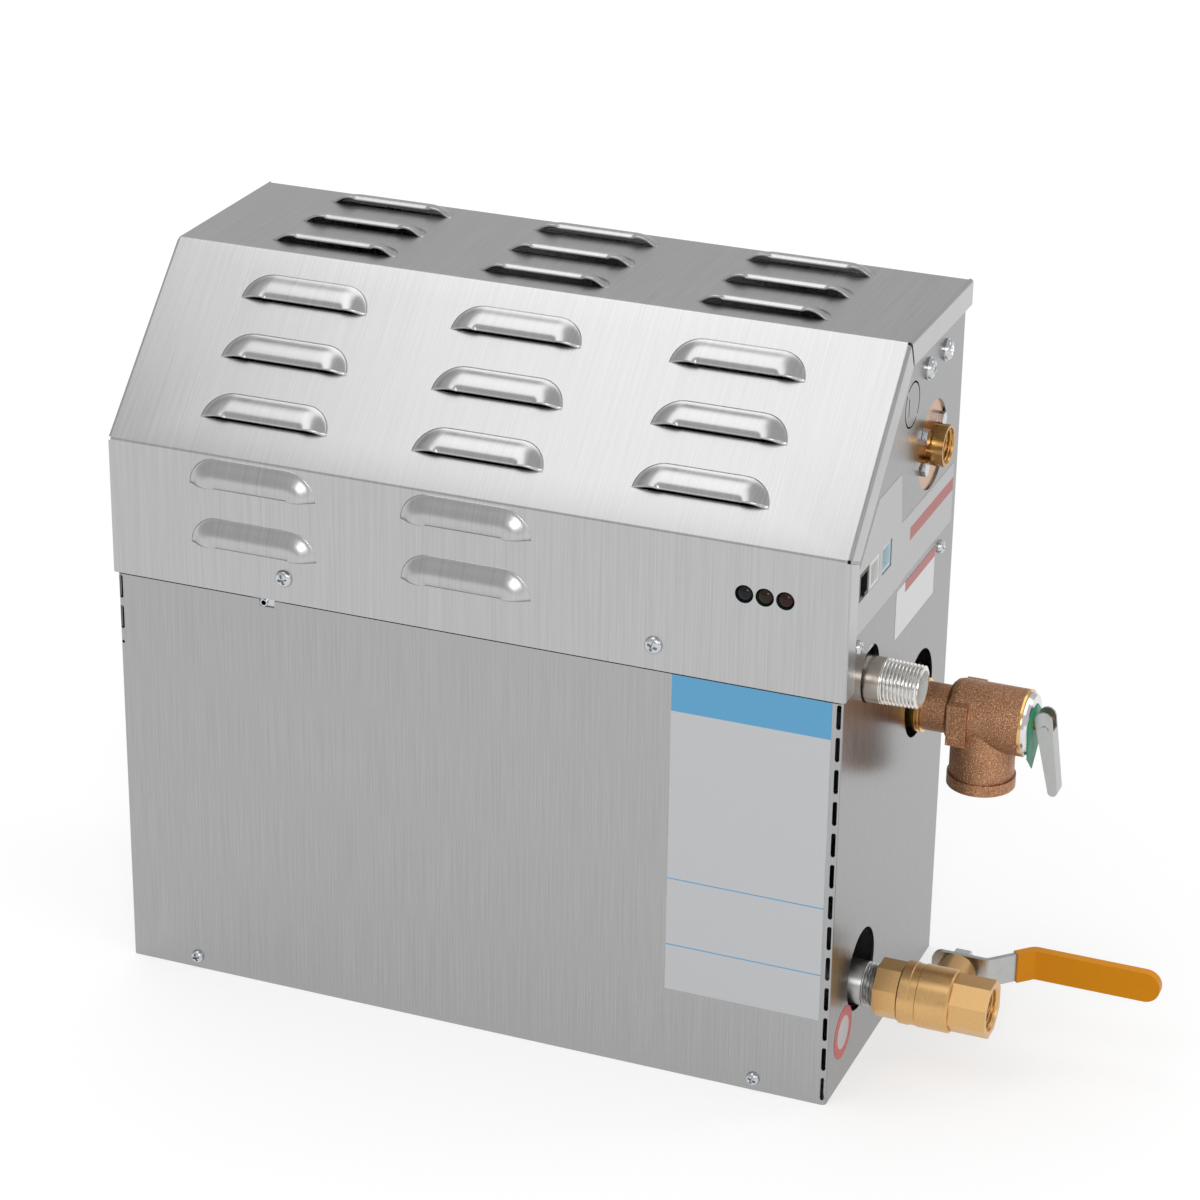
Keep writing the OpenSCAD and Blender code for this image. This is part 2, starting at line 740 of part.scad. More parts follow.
module base_pan() color(STEEL) difference() {
    tray(pan_flange);
    for (x = [-1, 1]) {
        on_front(x * base_screw_x, base_screw_z, -2 * sheet - over) screw_hole();
        on_back(x * back_screw_x, base_screw_z, -2 * sheet - over) screw_hole();
    }
}

// Round-ended slot across the fold at one front corner
module fold_slot() translate([side_x - slot_inset - slot_w / 2, front_y + bend_r * 0.8, 0]) rotate([90, 0, 0])
    linear_extrude(bend_r) {
        translate([-slot_w / 2, slot_w / 2]) square([slot_w, slot_l - slot_w]);
        for (z = [slot_w / 2, slot_l - slot_w / 2]) translate([0, z]) circle(slot_w / 2, $fn = hexagon);
    }

module side_sheet() {
    translate([side_x - bend_r, front_y + bend_r, 0]) rotate([0, 0, -90]) bend(wrap_z);
    translate([side_x - sheet, 0, 0]) rotate([90, 0, 90]) linear_extrude(sheet) polygon([
        [front_y + bend_r, 0], [back_y - bend_r, 0], [back_y - bend_r, side_top], [side_top_y, side_top],
        [front_y + edge_in, side_fold_z], [front_y + edge_in, wrap_z], [front_y + bend_r, wrap_z]]);
    translate([side_x - bend_r, back_y - bend_r, 0]) bend(side_top);
    translate([side_x - return_w, back_y - sheet, 0]) cube([return_w - bend_r, sheet, side_top]);
}

module side_hole(y, z, r) on_side(y, z, -sheet - over) cylinder(r = r, h = sheet + 2 * over);

// One sheet: the lower front and both sides, slotted along the front folds
module lower_wrap() color(STEEL) difference() {
    union() {
        translate([bend_r - side_x, front_y, 0]) cube([body_w - 2 * bend_r, sheet, wrap_z]);
        both_sides() side_sheet();
    }
    for (i = [0:slot_count - 1]) translate([0, 0, wrap_z - slot_start - slot_l - i * slot_pitch]) fold_slot();
    mirror([1, 0, 0]) {
        for (i = [0:left_slots - 1]) translate([0, 0, wrap_z - slot_start - slot_l - i * slot_pitch]) fold_slot();
        on_front(side_x - slot_inset - slot_w / 2, pin_hole_z, -bend_r) cylinder(r = pin_hole_r, h = bend_r + over);
    }
    translate([cover_x - notch_x - notch_w / 2, front_y - over, wrap_z - notch_h])
        cube([notch_w, sheet + 2 * over, notch_h + over]);
    for (x = [-1, 1]) on_front(x * base_screw_x, base_screw_z, -2 * sheet) screw_hole();
    side_hole(steam_y, steam_z + steam_hole_rise, steam_hole_r);
    side_hole(relief_y, relief_z + relief_hole_rise, relief_hole_r);
    side_hole(inlet_y + inlet_hole_back, inlet_z - inlet_hole_drop, inlet_hole_r);
    side_hole(drain_y - drain_hole_front, drain_z + drain_hole_rise, drain_hole_r);
    for (y = [bracket_screw_front, bracket_screw_back]) side_hole(y, bracket_screw_z, screw_hole_r);
    both_sides() for (y = [shelf_screw_front, shelf_screw_back]) side_hole(y, shelf_screw_z, screw_hole_r);
    for (y = [remote_y, white_y, blue_y]) translate([side_x - sheet - over, back(y) - port_w / 2, port_z])
        cube([sheet + 2 * over, port_w, port_w]);
    on_side(knockout_y, knockout_z, -sheet - over) {
        difference() {
            pipe(knockout_r + cut_w / 2, knockout_r - cut_w / 2, sheet + 2 * over);
            rotate([0, 0, 45]) cube([3 * knockout_r, 2 * sheet, 6 * sheet], center = true);
        }
        translate([-pry_l / 2, -knockout_r / 2, 0]) cube([pry_l, cut_w, sheet + 2 * over]);
    }
}

module back_panel() color(STEEL) difference() {
    translate([edge_in - side_x, back_y - 2 * sheet, 0]) cube([body_w - 2 * edge_in, sheet, side_top]);
    for (x = [-1, 1], z = [base_screw_z, shelf_screw_z]) on_back(x * back_screw_x, z, -2 * sheet) screw_hole();
}

// Places of the louvres, each with its lip along x, its root towards y and z out of the sheet
module louvre_places() for (column = [-1:1]) translate([cover_x + column * louvre_pitch, 0, 0]) {
    for (i = [0:top_rows - 1]) {
        down = slant_row + i * slant_step;
        translate([0, fold_y - down * cos(slope), top_z - down * sin(slope)]) rotate([slope, 0, 0]) children();
        translate([0, fold_y + top_row + i * top_step, top_z]) children();
    }
    if (column < 1) for (i = [0:front_rows - 1])
        translate([0, front_y, fold_z - front_row - i * front_step]) rotate([90, 0, 0]) children();
}

// Sweeps a profile of depth and height along a louvre and round both its ends
module louvre_sweep() {
    translate([-louvre_straight / 2, 0, 0]) rotate([90, 0, 90]) linear_extrude(louvre_straight) children();
    for (way = [0, 1]) mirror([way, 0, 0]) translate([louvre_straight / 2, 0, 0])
        rotate_extrude(angle = 90) children();
}

// The height falls from the lip to the root as a half wave that starts flat and ends a little inside the sheet
function louvre_rise(share) = (louvre_h + louvre_foot) * (1 + cos(180 * share * share)) / 2 - louvre_foot;

module louvre_shell() louvre_sweep() polygon(concat(
    [for (i = [0:louvre_steps]) let(share = i / louvre_steps) [louvre_d * share, louvre_rise(share)]],
    [for (i = [louvre_steps:-1:0]) let(share = i / louvre_steps) [louvre_d * share, louvre_rise(share) - sheet]]));

module louvre_hole() louvre_sweep() translate([0, -sheet - over])
    square([louvre_d - 2 * louvre_foot, sheet + 2 * over]);

// Flanges at both sides of one leg of the cover, which runs forwards and down from a corner
module leg_flanges(from, lean, length) translate([cover_x, from[0], from[1]]) rotate([90 + lean, 0, 0])
    both_sides() translate([cover_w / 2, 0, 0]) lip(length, flange_h);

// All that lies on one side of the plane that halves a fold, and half the slit beyond it
module fold_side(at, lean, way) translate([cover_x, at[0], at[1]]) rotate([lean, 0, 0])
    translate([-cover_w, way > 0 ? -mitre_gap / 2 : -2 * flange_h, -2 * flange_h])
        cube([2 * cover_w, 2 * flange_h + mitre_gap / 2, 4 * flange_h]);

// One sheet: front, slope and top with pressed louvres, slit side flanges and a rear lip
module hood_cover() color(STEEL) {
    difference() {
        translate([cover_x - cover_w / 2 + bend_r, 0, 0]) rotate([90, 0, 90])
            linear_extrude(cover_w - 2 * bend_r) polygon(bent_sheet(cover_path, sheet, bend_r));
        louvre_places() louvre_hole();
        for (x = [-1, 1]) on_front(cover_x + x * cover_screw_x, cover_screw_z, -2 * sheet) screw_hole();
        for (i = [-1:1]) on_front(cover_x + lamp_x + i * lamp_pitch, lamp_z, -2 * sheet)
            cylinder(r = lamp_hole_r, h = 2 * sheet + over);
    }
    louvre_places() louvre_shell();
    difference() {
        leg_flanges(cover_path[3], 0, cover_back - fold_y);
        fold_side(cover_path[2], slope / 2, -1);
    }
    difference() {
        leg_flanges(cover_path[2], slope, slope_l);
        fold_side(cover_path[2], slope / 2, 1);
        fold_side(cover_path[1], 45 + slope / 2, -1);
    }
    difference() {
        leg_flanges(cover_path[1], 90, fold_z - seam_z);
        fold_side(cover_path[1], 45 + slope / 2, 1);
    }
}

module electrical_shelf() color(STEEL) difference() {
    translate([0, 0, shelf_z]) tray(shelf_flange);
    for (x = [-1, 1]) {
        on_front(cover_x + x * cover_screw_x, cover_screw_z, -2 * sheet - over) screw_hole();
        on_back(x * back_screw_x, shelf_screw_z, -2 * sheet - over) screw_hole();
    }
    both_sides() for (y = [shelf_screw_front, shelf_screw_back]) on_side(y, shelf_screw_z, -2 * sheet - over)
        screw_hole();
    translate([tube_x, back(inlet_y), shelf_z - over]) cylinder(r = tube_r + over, h = sheet + 2 * over);
    for (x = [-probe_x, tank_right / 2]) translate([x, back_y / 2, shelf_z - over])
        cylinder(r = cutout_r, h = sheet + 2 * over);
}

module cover_screws() color(ZINC) for (x = [-1, 1])
    on_front(cover_x + x * cover_screw_x, cover_screw_z) pan_screw(big_head_r);

module shelf_screws() color(ZINC) {
    both_sides() for (y = [shelf_screw_front, shelf_screw_back]) on_side(y, shelf_screw_z) pan_screw(small_head_r);
    for (x = [-1, 1]) on_back(x * back_screw_x, shelf_screw_z) pan_screw(small_head_r);
}

module base_screws() color(ZINC) for (x = [-1, 1]) {
    on_front(x * base_screw_x, base_screw_z) pan_screw(small_head_r);
    on_back(x * back_screw_x, base_screw_z) pan_screw(small_head_r);
}

module bracket_screws() color(ZINC) for (y = [bracket_screw_front, bracket_screw_back])
    on_side(y, bracket_screw_z) {
        cylinder(r = washer_r, h = washer_h);
        translate([0, 0, washer_h]) pan_screw(bracket_head_r, screw_l + washer_h);
    }

// Tab behind the seam with a hollow rivet nut that sits in the wrap's notch
module cover_locator() color(ZINC) difference() {
    union() {
        translate([cover_x - notch_x - notch_w, front_y + sheet, wrap_z - 2 * notch_h])
            cube([2 * notch_w, sheet, 4 * notch_h]);
        on_front(cover_x - notch_x - notch_w / 2 + rivet_r + hole_play, wrap_z - notch_h / 2 + hole_play, -sheet)
            cylinder(r = rivet_r - 2 * hole_play, h = sheet);
    }
    on_front(cover_x - notch_x - notch_w / 2 + rivet_r + hole_play, wrap_z - notch_h / 2 + hole_play, -3 * sheet)
        cylinder(r = rivet_bore_r, h = 3 * sheet + over);
}

// Domed lamp standing on its board
module lamp() rotate_extrude() polygon(concat([[0, 0], [lamp_r, 0], [lamp_r, lamp_rim]],
    [for (i = [1:fold_steps]) [lamp_r * cos(90 * i / fold_steps), lamp_rim + lamp_dome * sin(90 * i / fold_steps)]]));

module indicator_lights() color(BLACK) for (i = [-1:1])
    on_front(cover_x + lamp_x + i * lamp_pitch, lamp_z, -lamp_board_y) lamp();

module lamp_board() color(BOARD_GREEN)
    translate([cover_x + lamp_x - 2 * lamp_pitch, front_y + lamp_board_y, board_z - lamp_pitch / 2])
        cube([4 * lamp_pitch, board_t, 2 * lamp_pitch + board_t]);

// Circuit board with relays, capacitors and a heat sink
module control_board() color(BOARD_GREEN) {
    difference() {
        translate([board_right - board_l, board_front, board_z]) cube([board_l, board_d, board_t]);
        at_posts() translate([0, 0, board_z - over]) cylinder(r = post_r / 2 + hole_play, h = board_t + 2 * over);
    }
    translate([board_right - board_l, board_front, board_top]) {
        for (i = [1:4]) translate([i * relay_w * 1.3, board_d * 0.7, 0]) cube([relay_w, relay_w * 1.2, relay_w]);
        for (i = [0:1]) translate([relay_w * (1 + i * 1.4), board_d * 0.35, 0])
            cylinder(r = relay_w / 3, h = relay_w * 1.3);
        for (i = [0:7]) translate([board_l * 0.6 + i * fin_step, board_d * 0.3, 0])
            cube([fin_step / 3, board_d / 4, relay_w]);
        translate([board_l * 0.6, board_d * 0.3, 0]) cube([7 * fin_step + fin_step / 3, board_d / 4, board_t]);
    }
}

// Four places inside the board's corners
module at_posts() for (x = [post_in, board_l - post_in], y = [post_in, board_d - post_in])
    translate([board_right - board_l + x, board_front + y, 0]) children();

module board_standoffs() color(BRASS) at_posts() {
    translate([0, 0, shelf_top]) prism(hexagon, 2 * post_r, board_z - shelf_top);
    translate([0, 0, board_z - over]) cylinder(r = post_r / 2, h = board_t + 2 * over);
    translate([0, 0, board_top]) prism(hexagon, 2 * post_r, over);
}

// Open socket on the board's edge, whose nose fills its hole in the side sheet
module socket(y, nose_in) translate([side_x, back(y), 0]) difference() {
    union() {
        translate([-socket_depth, -port_w / 2, board_top])
            cube([socket_depth - sheet - hole_play, port_w, port_z + port_w - board_top]);
        translate([-socket_depth, hole_play - port_w / 2, port_z + hole_play])
            cube([socket_depth - nose_in, port_w - 2 * hole_play, port_w - 2 * hole_play]);
    }
    translate([-mouth_depth, socket_wall - port_w / 2, port_z + socket_wall])
        cube([mouth_depth + over, port_w - 2 * socket_wall, port_w - 2 * socket_wall]);
}

// Contact comb inside the remote socket, and the clip's notch under its mouth
module remote_socket() color(BLACK) {
    difference() {
        socket(remote_y, 0);
        translate([side_x - mouth_depth, back(remote_y) - port_w / 8, port_z + socket_wall / 3])
            cube([mouth_depth + over, port_w / 4, socket_wall]);
    }
    for (i = [0:7]) translate([side_x - mouth_depth - over / 2,
            back(remote_y) - 7 * comb_step / 2 + i * comb_step - comb_step / 4, port_z + port_w - 2 * socket_wall])
        cube([mouth_depth * 0.7, comb_step / 2, socket_wall * 1.2]);
}

module white_port() color(WHITE) socket(white_y, 0);

module blue_port() color(PALE_BLUE) socket(blue_y, sheet / 2);

// Laminated core with two windows and the winding round its middle limb
module transformer() color(STEEL) translate([transformer_x, transformer_y, shelf_top]) {
    difference() {
        cube([core_w, core_d, core_h]);
        for (x = [core_w / 6, core_w * 4 / 6]) translate([x, -over, core_h / 6])
            cube([core_w / 6, core_d + 2 * over, core_h * 2 / 3]);
    }
    translate([core_w / 6, -core_d / 4, core_h / 6]) difference() {
        cube([core_w * 2 / 3, core_d * 1.5, core_h * 2 / 3]);
        translate([core_w / 6, core_d / 4, -over]) cube([core_w / 3, core_d, core_h]);
    }
    for (x = [-core_w / 6, core_w]) translate([x, 0, 0]) cube([core_w / 6, core_d, 2 * sheet]);
}

module contactor_base() color(BLACK) translate([contactor_x, contactor_y, shelf_top]) difference() {
    union() {
        cube([contactor_w, contactor_d, contactor_h]);
        for (i = [0:2], y = [-terminal_step / 2, contactor_d])
            translate([contactor_w * (i + 0.5) / 3 - terminal_step / 2, y, contactor_h / 2])
                cube([terminal_step, terminal_step / 2, terminal_step]);
    }
    translate([(contactor_w - armature_w) / 2 - moving_gap, (contactor_d - armature_l) / 2 - moving_gap,
        contactor_h / 2]) cube([armature_w + 2 * moving_gap, armature_l + 2 * moving_gap, contactor_h]);
}

// The armature stands above its stop by its travel
module contactor_armature() color(BLACK) translate([contactor_x + contactor_w / 2, contactor_y + contactor_d / 2,
    shelf_top + contactor_h / 2 + armature_travel + moving_gap]) {
    translate([-armature_w / 2, -armature_l / 2, 0]) cube([armature_w, armature_l, contactor_h / 2 + moving_gap]);
    translate([-armature_w / 2, -armature_l * 0.7, contactor_h / 2 + moving_gap])
        cube([armature_w, armature_l * 1.4, 2 * armature_travel]);
}

// Barrier strip with its screws
module terminal_block() color(BLACK) translate([terminal_x, terminal_y, shelf_top]) {
    cube([terminal_w, terminal_l, terminal_h / 2]);
    for (i = [0:barriers]) translate([0, i * (terminal_l - 2 * sheet) / barriers, 0])
        cube([terminal_w, 2 * sheet, terminal_h]);
    for (i = [0:barriers - 1])
        translate([terminal_w / 2, (i + 0.5) * (terminal_l - 2 * sheet) / barriers + sheet, terminal_h / 2])
            prism(hexagon, terminal_w / 3, 2 * sheet);
}

module tank_plan(inset) translate([saddle_mid, 0]) rounded(tank_left + tank_right - 2 * inset, tank_d - 2 * inset,
    tank_corner - inset);

module tank_shell() color(STEEL) difference() {
    translate([0, 0, tank_bottom]) linear_extrude(tank_top - tank_bottom) tank_plan(0);
    translate([0, 0, tank_bottom + tank_wall]) linear_extrude(tank_top - tank_bottom - 2 * tank_wall)
        tank_plan(tank_wall);
    for (at = [[steam_x, back(steam_y), pipe_r], [tube_x, back(inlet_y), tube_r], [-probe_x, 0, probe_af / 4]])
        translate([at[0], at[1], tank_top - tank_wall - over]) cylinder(r = at[2] + hole_play, h = tank_wall + 2 * over);
    for (at = [[drain_y, drain_z], [relief_y, relief_z]])
        translate([tank_right - tank_wall - over, back(at[0]), at[1]]) rotate([0, 90, 0])
            cylinder(r = pipe_r + hole_play, h = tank_wall + 2 * over);
    translate([-tank_left - over, 0, heater_z]) rotate([0, 90, 0]) {
        cylinder(r = heater_hole_r, h = tank_wall + 2 * over);
        bolt_places() cylinder(r = bolt_r + hole_play, h = tank_wall + 2 * over);
    }
}

// Two hat-shaped saddles between the base pan and the tank
module tank_saddles() color(STEEL) for (way = [-1, 1])
    translate([saddle_mid + way * saddle_x, -tank_back, sheet]) rotate([90, 0, 180]) linear_extrude(tank_d)
        polygon(hat_outline);

// Places round the heater's bolt circle
module bolt_places() for (turn = [45:90:315]) rotate([0, 0, turn]) translate([bolt_circle_r, 0, 0]) children();

// Places on the tank's left end, with z pointing away from the tank
module on_heater(out) translate([-tank_left - out, 0, heater_z]) rotate([0, -90, 0]) children();

module element_gasket() color(BLACK) on_heater(0) difference() {
    pipe(heater_flange_r, heater_hole_r, gasket_t);
    bolt_places() translate([0, 0, -over]) cylinder(r = bolt_r + hole_play, h = gasket_t + 2 * over);
}

module element_flange() color(STEEL) on_heater(gasket_t) difference() {
    cylinder(r = heater_flange_r, h = heater_flange_t);
    bolt_places() translate([0, 0, -over]) cylinder(r = bolt_r + hole_play, h = heater_flange_t + 2 * over);
    for (i = [-1, 1], y = [-1, 1]) translate([i * rod_step / 2, y * rod_bend, -over])
        cylinder(r = rod_r + hole_play, h = heater_flange_t + 2 * over);
}

// Two rods bent double, whose ends pass through the flange
module heating_element() color(COPPER) for (i = [-1, 1]) translate([-tank_left, 0, heater_z + i * rod_step / 2]) {
    for (y = [-1, 1]) translate([-gasket_t - heater_flange_t - rod_end, y * rod_bend, 0]) rotate([0, 90, 0])
        cylinder(r = rod_r, h = gasket_t + heater_flange_t + rod_end + rod_l);
    translate([rod_l, 0, 0]) rotate([0, 0, -90]) rotate_extrude(angle = 180) translate([rod_bend, 0]) circle(rod_r);
}

module element_bolts() color(ZINC) on_heater(gasket_t + heater_flange_t) bolt_places() {
    prism(hexagon, bolt_af, bolt_r * 1.5);
    translate([0, 0, -gasket_t - heater_flange_t - tank_wall - 2 * bolt_r])
        cylinder(r = bolt_r, h = gasket_t + heater_flange_t + tank_wall + 2 * bolt_r + over);
}

module level_probe() color(STEEL) translate([-probe_x, 0, tank_top]) {
    prism(hexagon, probe_af, probe_h);
    translate([0, 0, -tank_wall - over]) cylinder(r = probe_af / 4, h = tank_wall + 2 * over);
    translate([0, 0, -probe_l]) cylinder(r = probe_r, h = probe_l + probe_h + probe_end);
}

module overheat_cutout() color(BLACK) translate([tank_right / 4, tank_d / 8, tank_top]) {
    cylinder(r = cutout_r, h = cutout_h);
    for (x = [-1, 1]) translate([x * cutout_r / 2 - sheet, -cutout_r / 3, cutout_h])
        cube([2 * sheet, cutout_r * 2 / 3, cutout_h / 2]);
}

module flange_screw_places() for (y = [-1, 1], z = [-1, 1])
    translate([z * flange_screw_h / 2, y * flange_screw_w / 2, 0]) children();

// Brass valve: flange and boss in the side's hole, a block behind, and the closed tube of its plunger
module fill_valve_body() color(BRASS) difference() {
    union() {
        on_side(inlet_y, inlet_z, -sheet - flange_t) {
            linear_extrude(flange_t) rounded(flange_tall, flange_w, flange_corner);
            cylinder(r = inlet_boss_r, h = flange_t + sheet + inlet_out);
        }
        translate([block_left, back(inlet_y) - block_w / 2, inlet_z - block_half])
            cube([block_l + over, block_w, 2 * block_half]);
        translate([coil_x, back(inlet_y), block_top - over])
            cylinder(r = guide_outer_r, h = guide_top - block_top + over);
    }
    on_side(inlet_y, inlet_z, inlet_out - inlet_bore_l) cylinder(r = inlet_bore_r, h = inlet_bore_l + over);
    on_side(inlet_y, inlet_z, -sheet - flange_t) flange_screw_places()
        cylinder(r = flange_screw_r + hole_play, h = flange_t + over);
    translate([coil_x + riser_in, back(inlet_y), inlet_z]) {
        rotate([0, 90, 0]) cylinder(r = passage_r, h = side_x - coil_x - riser_in);
        cylinder(r = passage_r, h = fill_seat_up + over);
    }
    translate([coil_x, back(inlet_y), fill_seat_z]) {
        cylinder(r = 2 * plunger_r, h = 2 * fill_lift);
        cylinder(r = guide_r, h = guide_top - guide_wall - fill_seat_z);
        translate([0, 0, -fill_seat_up]) cylinder(r = passage_r * 0.8, h = fill_seat_up + over);
    }
    translate([block_left - over, back(inlet_y), inlet_z]) rotate([0, 90, 0]) {
        cylinder(r = passage_r, h = coil_x - block_left + over);
        cylinder(r = tube_r + hole_play, h = 2 * tube_r + over);
    }
}

module fill_valve_coil() color(BLACK) translate([coil_x, back(inlet_y), block_top]) difference() {
    union() {
        linear_extrude(coil_h) rounded(coil_w, coil_w, coil_w / 5);
        translate([-coil_w * 0.7, -coil_w / 5, coil_h / 3]) cube([coil_w / 2, coil_w * 0.4, coil_h / 3]);
    }
    translate([0, 0, -over]) cylinder(r = guide_outer_r + hole_play, h = coil_h + 2 * over);
}

module fill_valve_plunger() color(STEEL) translate([coil_x, back(inlet_y), fill_seat_z])
    cylinder(r = plunger_r, h = plunger_l);

// Helical wire round the z axis: rings of points set square to the helix
function helix_point(r, rise, turn) = [r * cos(turn), r * sin(turn), rise * turn / 360];
module coil_spring(coil_r, wire_r, length, turns) {
    rise = (length - 2 * wire_r) / turns;
    rings = turns * spring_rings;
    lean = atan2(rise, 2 * PI * coil_r);
    points = [for (i = [0:rings]) let(turn = 360 * i / spring_rings) for (k = [0:spring_sides - 1])
        let(a = 360 * k / spring_sides, side = wire_r * cos(a), up = wire_r * sin(a))
        helix_point(coil_r, rise, turn) + [0, 0, wire_r] + [
            side * cos(turn) + up * sin(lean) * sin(turn), side * sin(turn) - up * sin(lean) * cos(turn),
            up * cos(lean)]];
    faces = concat(
        [for (i = [0:rings - 1], k = [0:spring_sides - 1]) let(n = (k + 1) % spring_sides)
            each [[i * spring_sides + k, (i + 1) * spring_sides + k, (i + 1) * spring_sides + n],
                [i * spring_sides + k, (i + 1) * spring_sides + n, i * spring_sides + n]]],
        [for (k = [1:spring_sides - 2]) [0, k, k + 1]],
        [for (k = [1:spring_sides - 2]) [rings * spring_sides, rings * spring_sides + k + 1, rings * spring_sides + k]]);
    polyhedron(points, faces);
}

module fill_valve_spring() color(ZINC) translate([coil_x, back(inlet_y), fill_seat_z + plunger_l])
    coil_spring(plunger_r * 0.6, plunger_r / 8, guide_top - guide_wall - fill_seat_z - plunger_l, fill_turns);

module flange_screws() color(ZINC) on_side(inlet_y, inlet_z, -sheet) flange_screw_places() {
    prism(hexagon, flange_screw_af, flange_head_h);
    translate([0, 0, -flange_t]) cylinder(r = flange_screw_r, h = flange_t + over);
}

// Angle that holds the coil down by the tube's end
module fill_valve_bracket() color(ZINC) difference() {
    union() {
        translate([side_x - sheet - bracket_t, back(bracket_screw_front) - bracket_edge, block_top + coil_h])
            cube([bracket_t, bracket_screw_back - bracket_screw_front + 2 * bracket_edge, bracket_h]);
        translate([coil_x - coil_w / 2, back(inlet_y) - coil_w / 2, block_top + coil_h])
            cube([side_x - sheet - coil_x + coil_w / 2, coil_w, bracket_t]);
    }
    for (y = [bracket_screw_front, bracket_screw_back]) on_side(y, bracket_screw_z, -sheet - bracket_t - over)
        cylinder(r = screw_hole_r, h = bracket_t + 2 * over);
    translate([coil_x, back(inlet_y), block_top + coil_h - over])
        cylinder(r = guide_outer_r + hole_play, h = bracket_t + 2 * over);
}

// Round bend that starts upwards at the origin and ends along +x
module elbow(r, bend_radius) translate([bend_radius, 0, 0]) rotate([90, 0, 0]) rotate([0, 0, 90])
    rotate_extrude(angle = 90) translate([bend_radius, 0]) circle(r);

module tube_run(r, extra) {
    translate([tube_x, back(inlet_y), tank_top - tank_wall - extra])
        cylinder(r = r, h = inlet_z - tube_bend - tank_top + tank_wall + extra);
    translate([tube_x, back(inlet_y), inlet_z - tube_bend]) elbow(r, tube_bend);
    translate([tube_x + tube_bend, back(inlet_y), inlet_z]) rotate([0, 90, 0])
        cylinder(r = r, h = block_left + 2 * tube_r - tube_x - tube_bend + extra - hole_play);
}

module fill_tube() color(COPPER) difference() {
    tube_run(tube_r, 0);
    tube_run(tube_r - tube_wall, over);
}

module steam_run(r, extra) translate([steam_x, back(steam_y), 0]) {
    translate([0, 0, tank_top - tank_wall - extra]) cylinder(r = r, h = tank_wall + extra);
    translate([0, 0, tank_top]) elbow(r, elbow_r);
    translate([elbow_r, 0, steam_z]) rotate([0, 90, 0])
        cylinder(r = r, h = side_x + (extra > 0 ? steam_out + extra : steam_thread_out) - steam_x - elbow_r);
}

// Bent pipe from the tank's top, threaded at its outer end
module steam_pipe() color(STEEL) difference() {
    union() {
        steam_run(pipe_r, 0);
        on_side(steam_y, steam_z, steam_thread_out) cylinder(r = thread_r, h = steam_out - steam_thread_out);
    }
    steam_run(pipe_bore_r, over);
}

// Pipe and collar that join the safety valve to the tank
module relief_bushing() color(BRONZE) difference() {
    union() {
        translate([tank_right - tank_wall, back(relief_y), relief_z]) rotate([0, 90, 0])
            cylinder(r = pipe_r, h = side_x + collar_out - tank_right + tank_wall);
        on_side(relief_y, relief_z, collar_out - collar_l) cylinder(r = collar_r, h = collar_l);
    }
    translate([tank_right - tank_wall - over, back(relief_y), relief_z]) rotate([0, 90, 0])
        cylinder(r = seat_r, h = side_x - tank_right + tank_wall);
    on_side(relief_y, relief_z, collar_out - spigot_l - hole_play)
        cylinder(r = spigot_r + hole_play, h = spigot_l + hole_play + over);
}

// Cast angle body: neck, shouldered barrel, wrench pads and the outlet below
module relief_body() color(BRONZE) difference() {
    union() {
        on_side(relief_y, relief_z) {
            rotate_extrude() polygon(concat(
                [[0, collar_out], [neck_r, collar_out], [neck_r, neck_out]],
                [for (i = [0:fold_steps]) let(a = 90 * i / fold_steps)
                    [relief_r - shoulder_r * (1 - sin(a)), neck_out + shoulder_r * (1 - cos(a))]],
                [[relief_r, relief_out], [0, relief_out]]));
            translate([0, 0, collar_out - spigot_l]) cylinder(r = spigot_r, h = spigot_l + over);
            translate([-pad_h / 2, -pad_w / 2, pad_out]) cube([pad_h, pad_w, pad_l]);
        }
        on_side(relief_y, relief_z - outlet_drop, outlet_out) rotate([0, -90, 0]) {
            cylinder(r = outlet_r, h = outlet_drop);
            cylinder(r = rim_r, h = rim_h);
        }
    }
    on_side(relief_y, relief_z) {
        translate([0, 0, collar_out - spigot_l - over]) cylinder(r = seat_r, h = seat_out + spigot_l);
        translate([0, 0, seat_out]) cylinder(r = chamber_r, h = relief_out - seat_out + over);
    }
    on_side(relief_y, relief_z - outlet_drop - over, outlet_out) rotate([0, -90, 0])
        cylinder(r = outlet_bore_r, h = outlet_drop + over - chamber_r * 0.8);
}

// Disc on the seat, and the stem that the lever pulls
module relief_disc() color(BRASS) difference() {
    on_side(relief_y, relief_z, seat_out) {
        cylinder(r = disc_r, h = disc_h);
        cylinder(r = stem_r, h = pin_out + stem_past - seat_out);
    }
    at_pin() translate([0, 0, -relief_r]) cylinder(r = pin_r + hole_play, h = 2 * relief_r);
}

module relief_spring() color(ZINC) on_side(relief_y, relief_z, seat_out + disc_h)
    coil_spring(spring_coil_r, spring_wire_r, relief_out - seat_out - disc_h, relief_turns);

module relief_cap() color(CHROME) on_side(relief_y, relief_z, relief_out) difference() {
    rotate_extrude() polygon([[0, 0], [cap_r, 0], [cap_r, cap_h * 0.6], [cap_r - cap_h * 0.4, cap_h], [0, cap_h]]);
    translate([0, 0, -over]) cylinder(r = stem_r + running_play, h = cap_h + 2 * over);
}

// The lever's pin, with x outwards, y up and z to the front
module at_pin() translate([side_x + pin_out, back(relief_y), relief_z]) rotate([90, 0, 0]) children();

module lever_blade() hull() {
    translate([0, lever_head_up]) circle(lever_head_r);
    translate([0, -lever_tip_down]) circle(lever_tip_r);
}

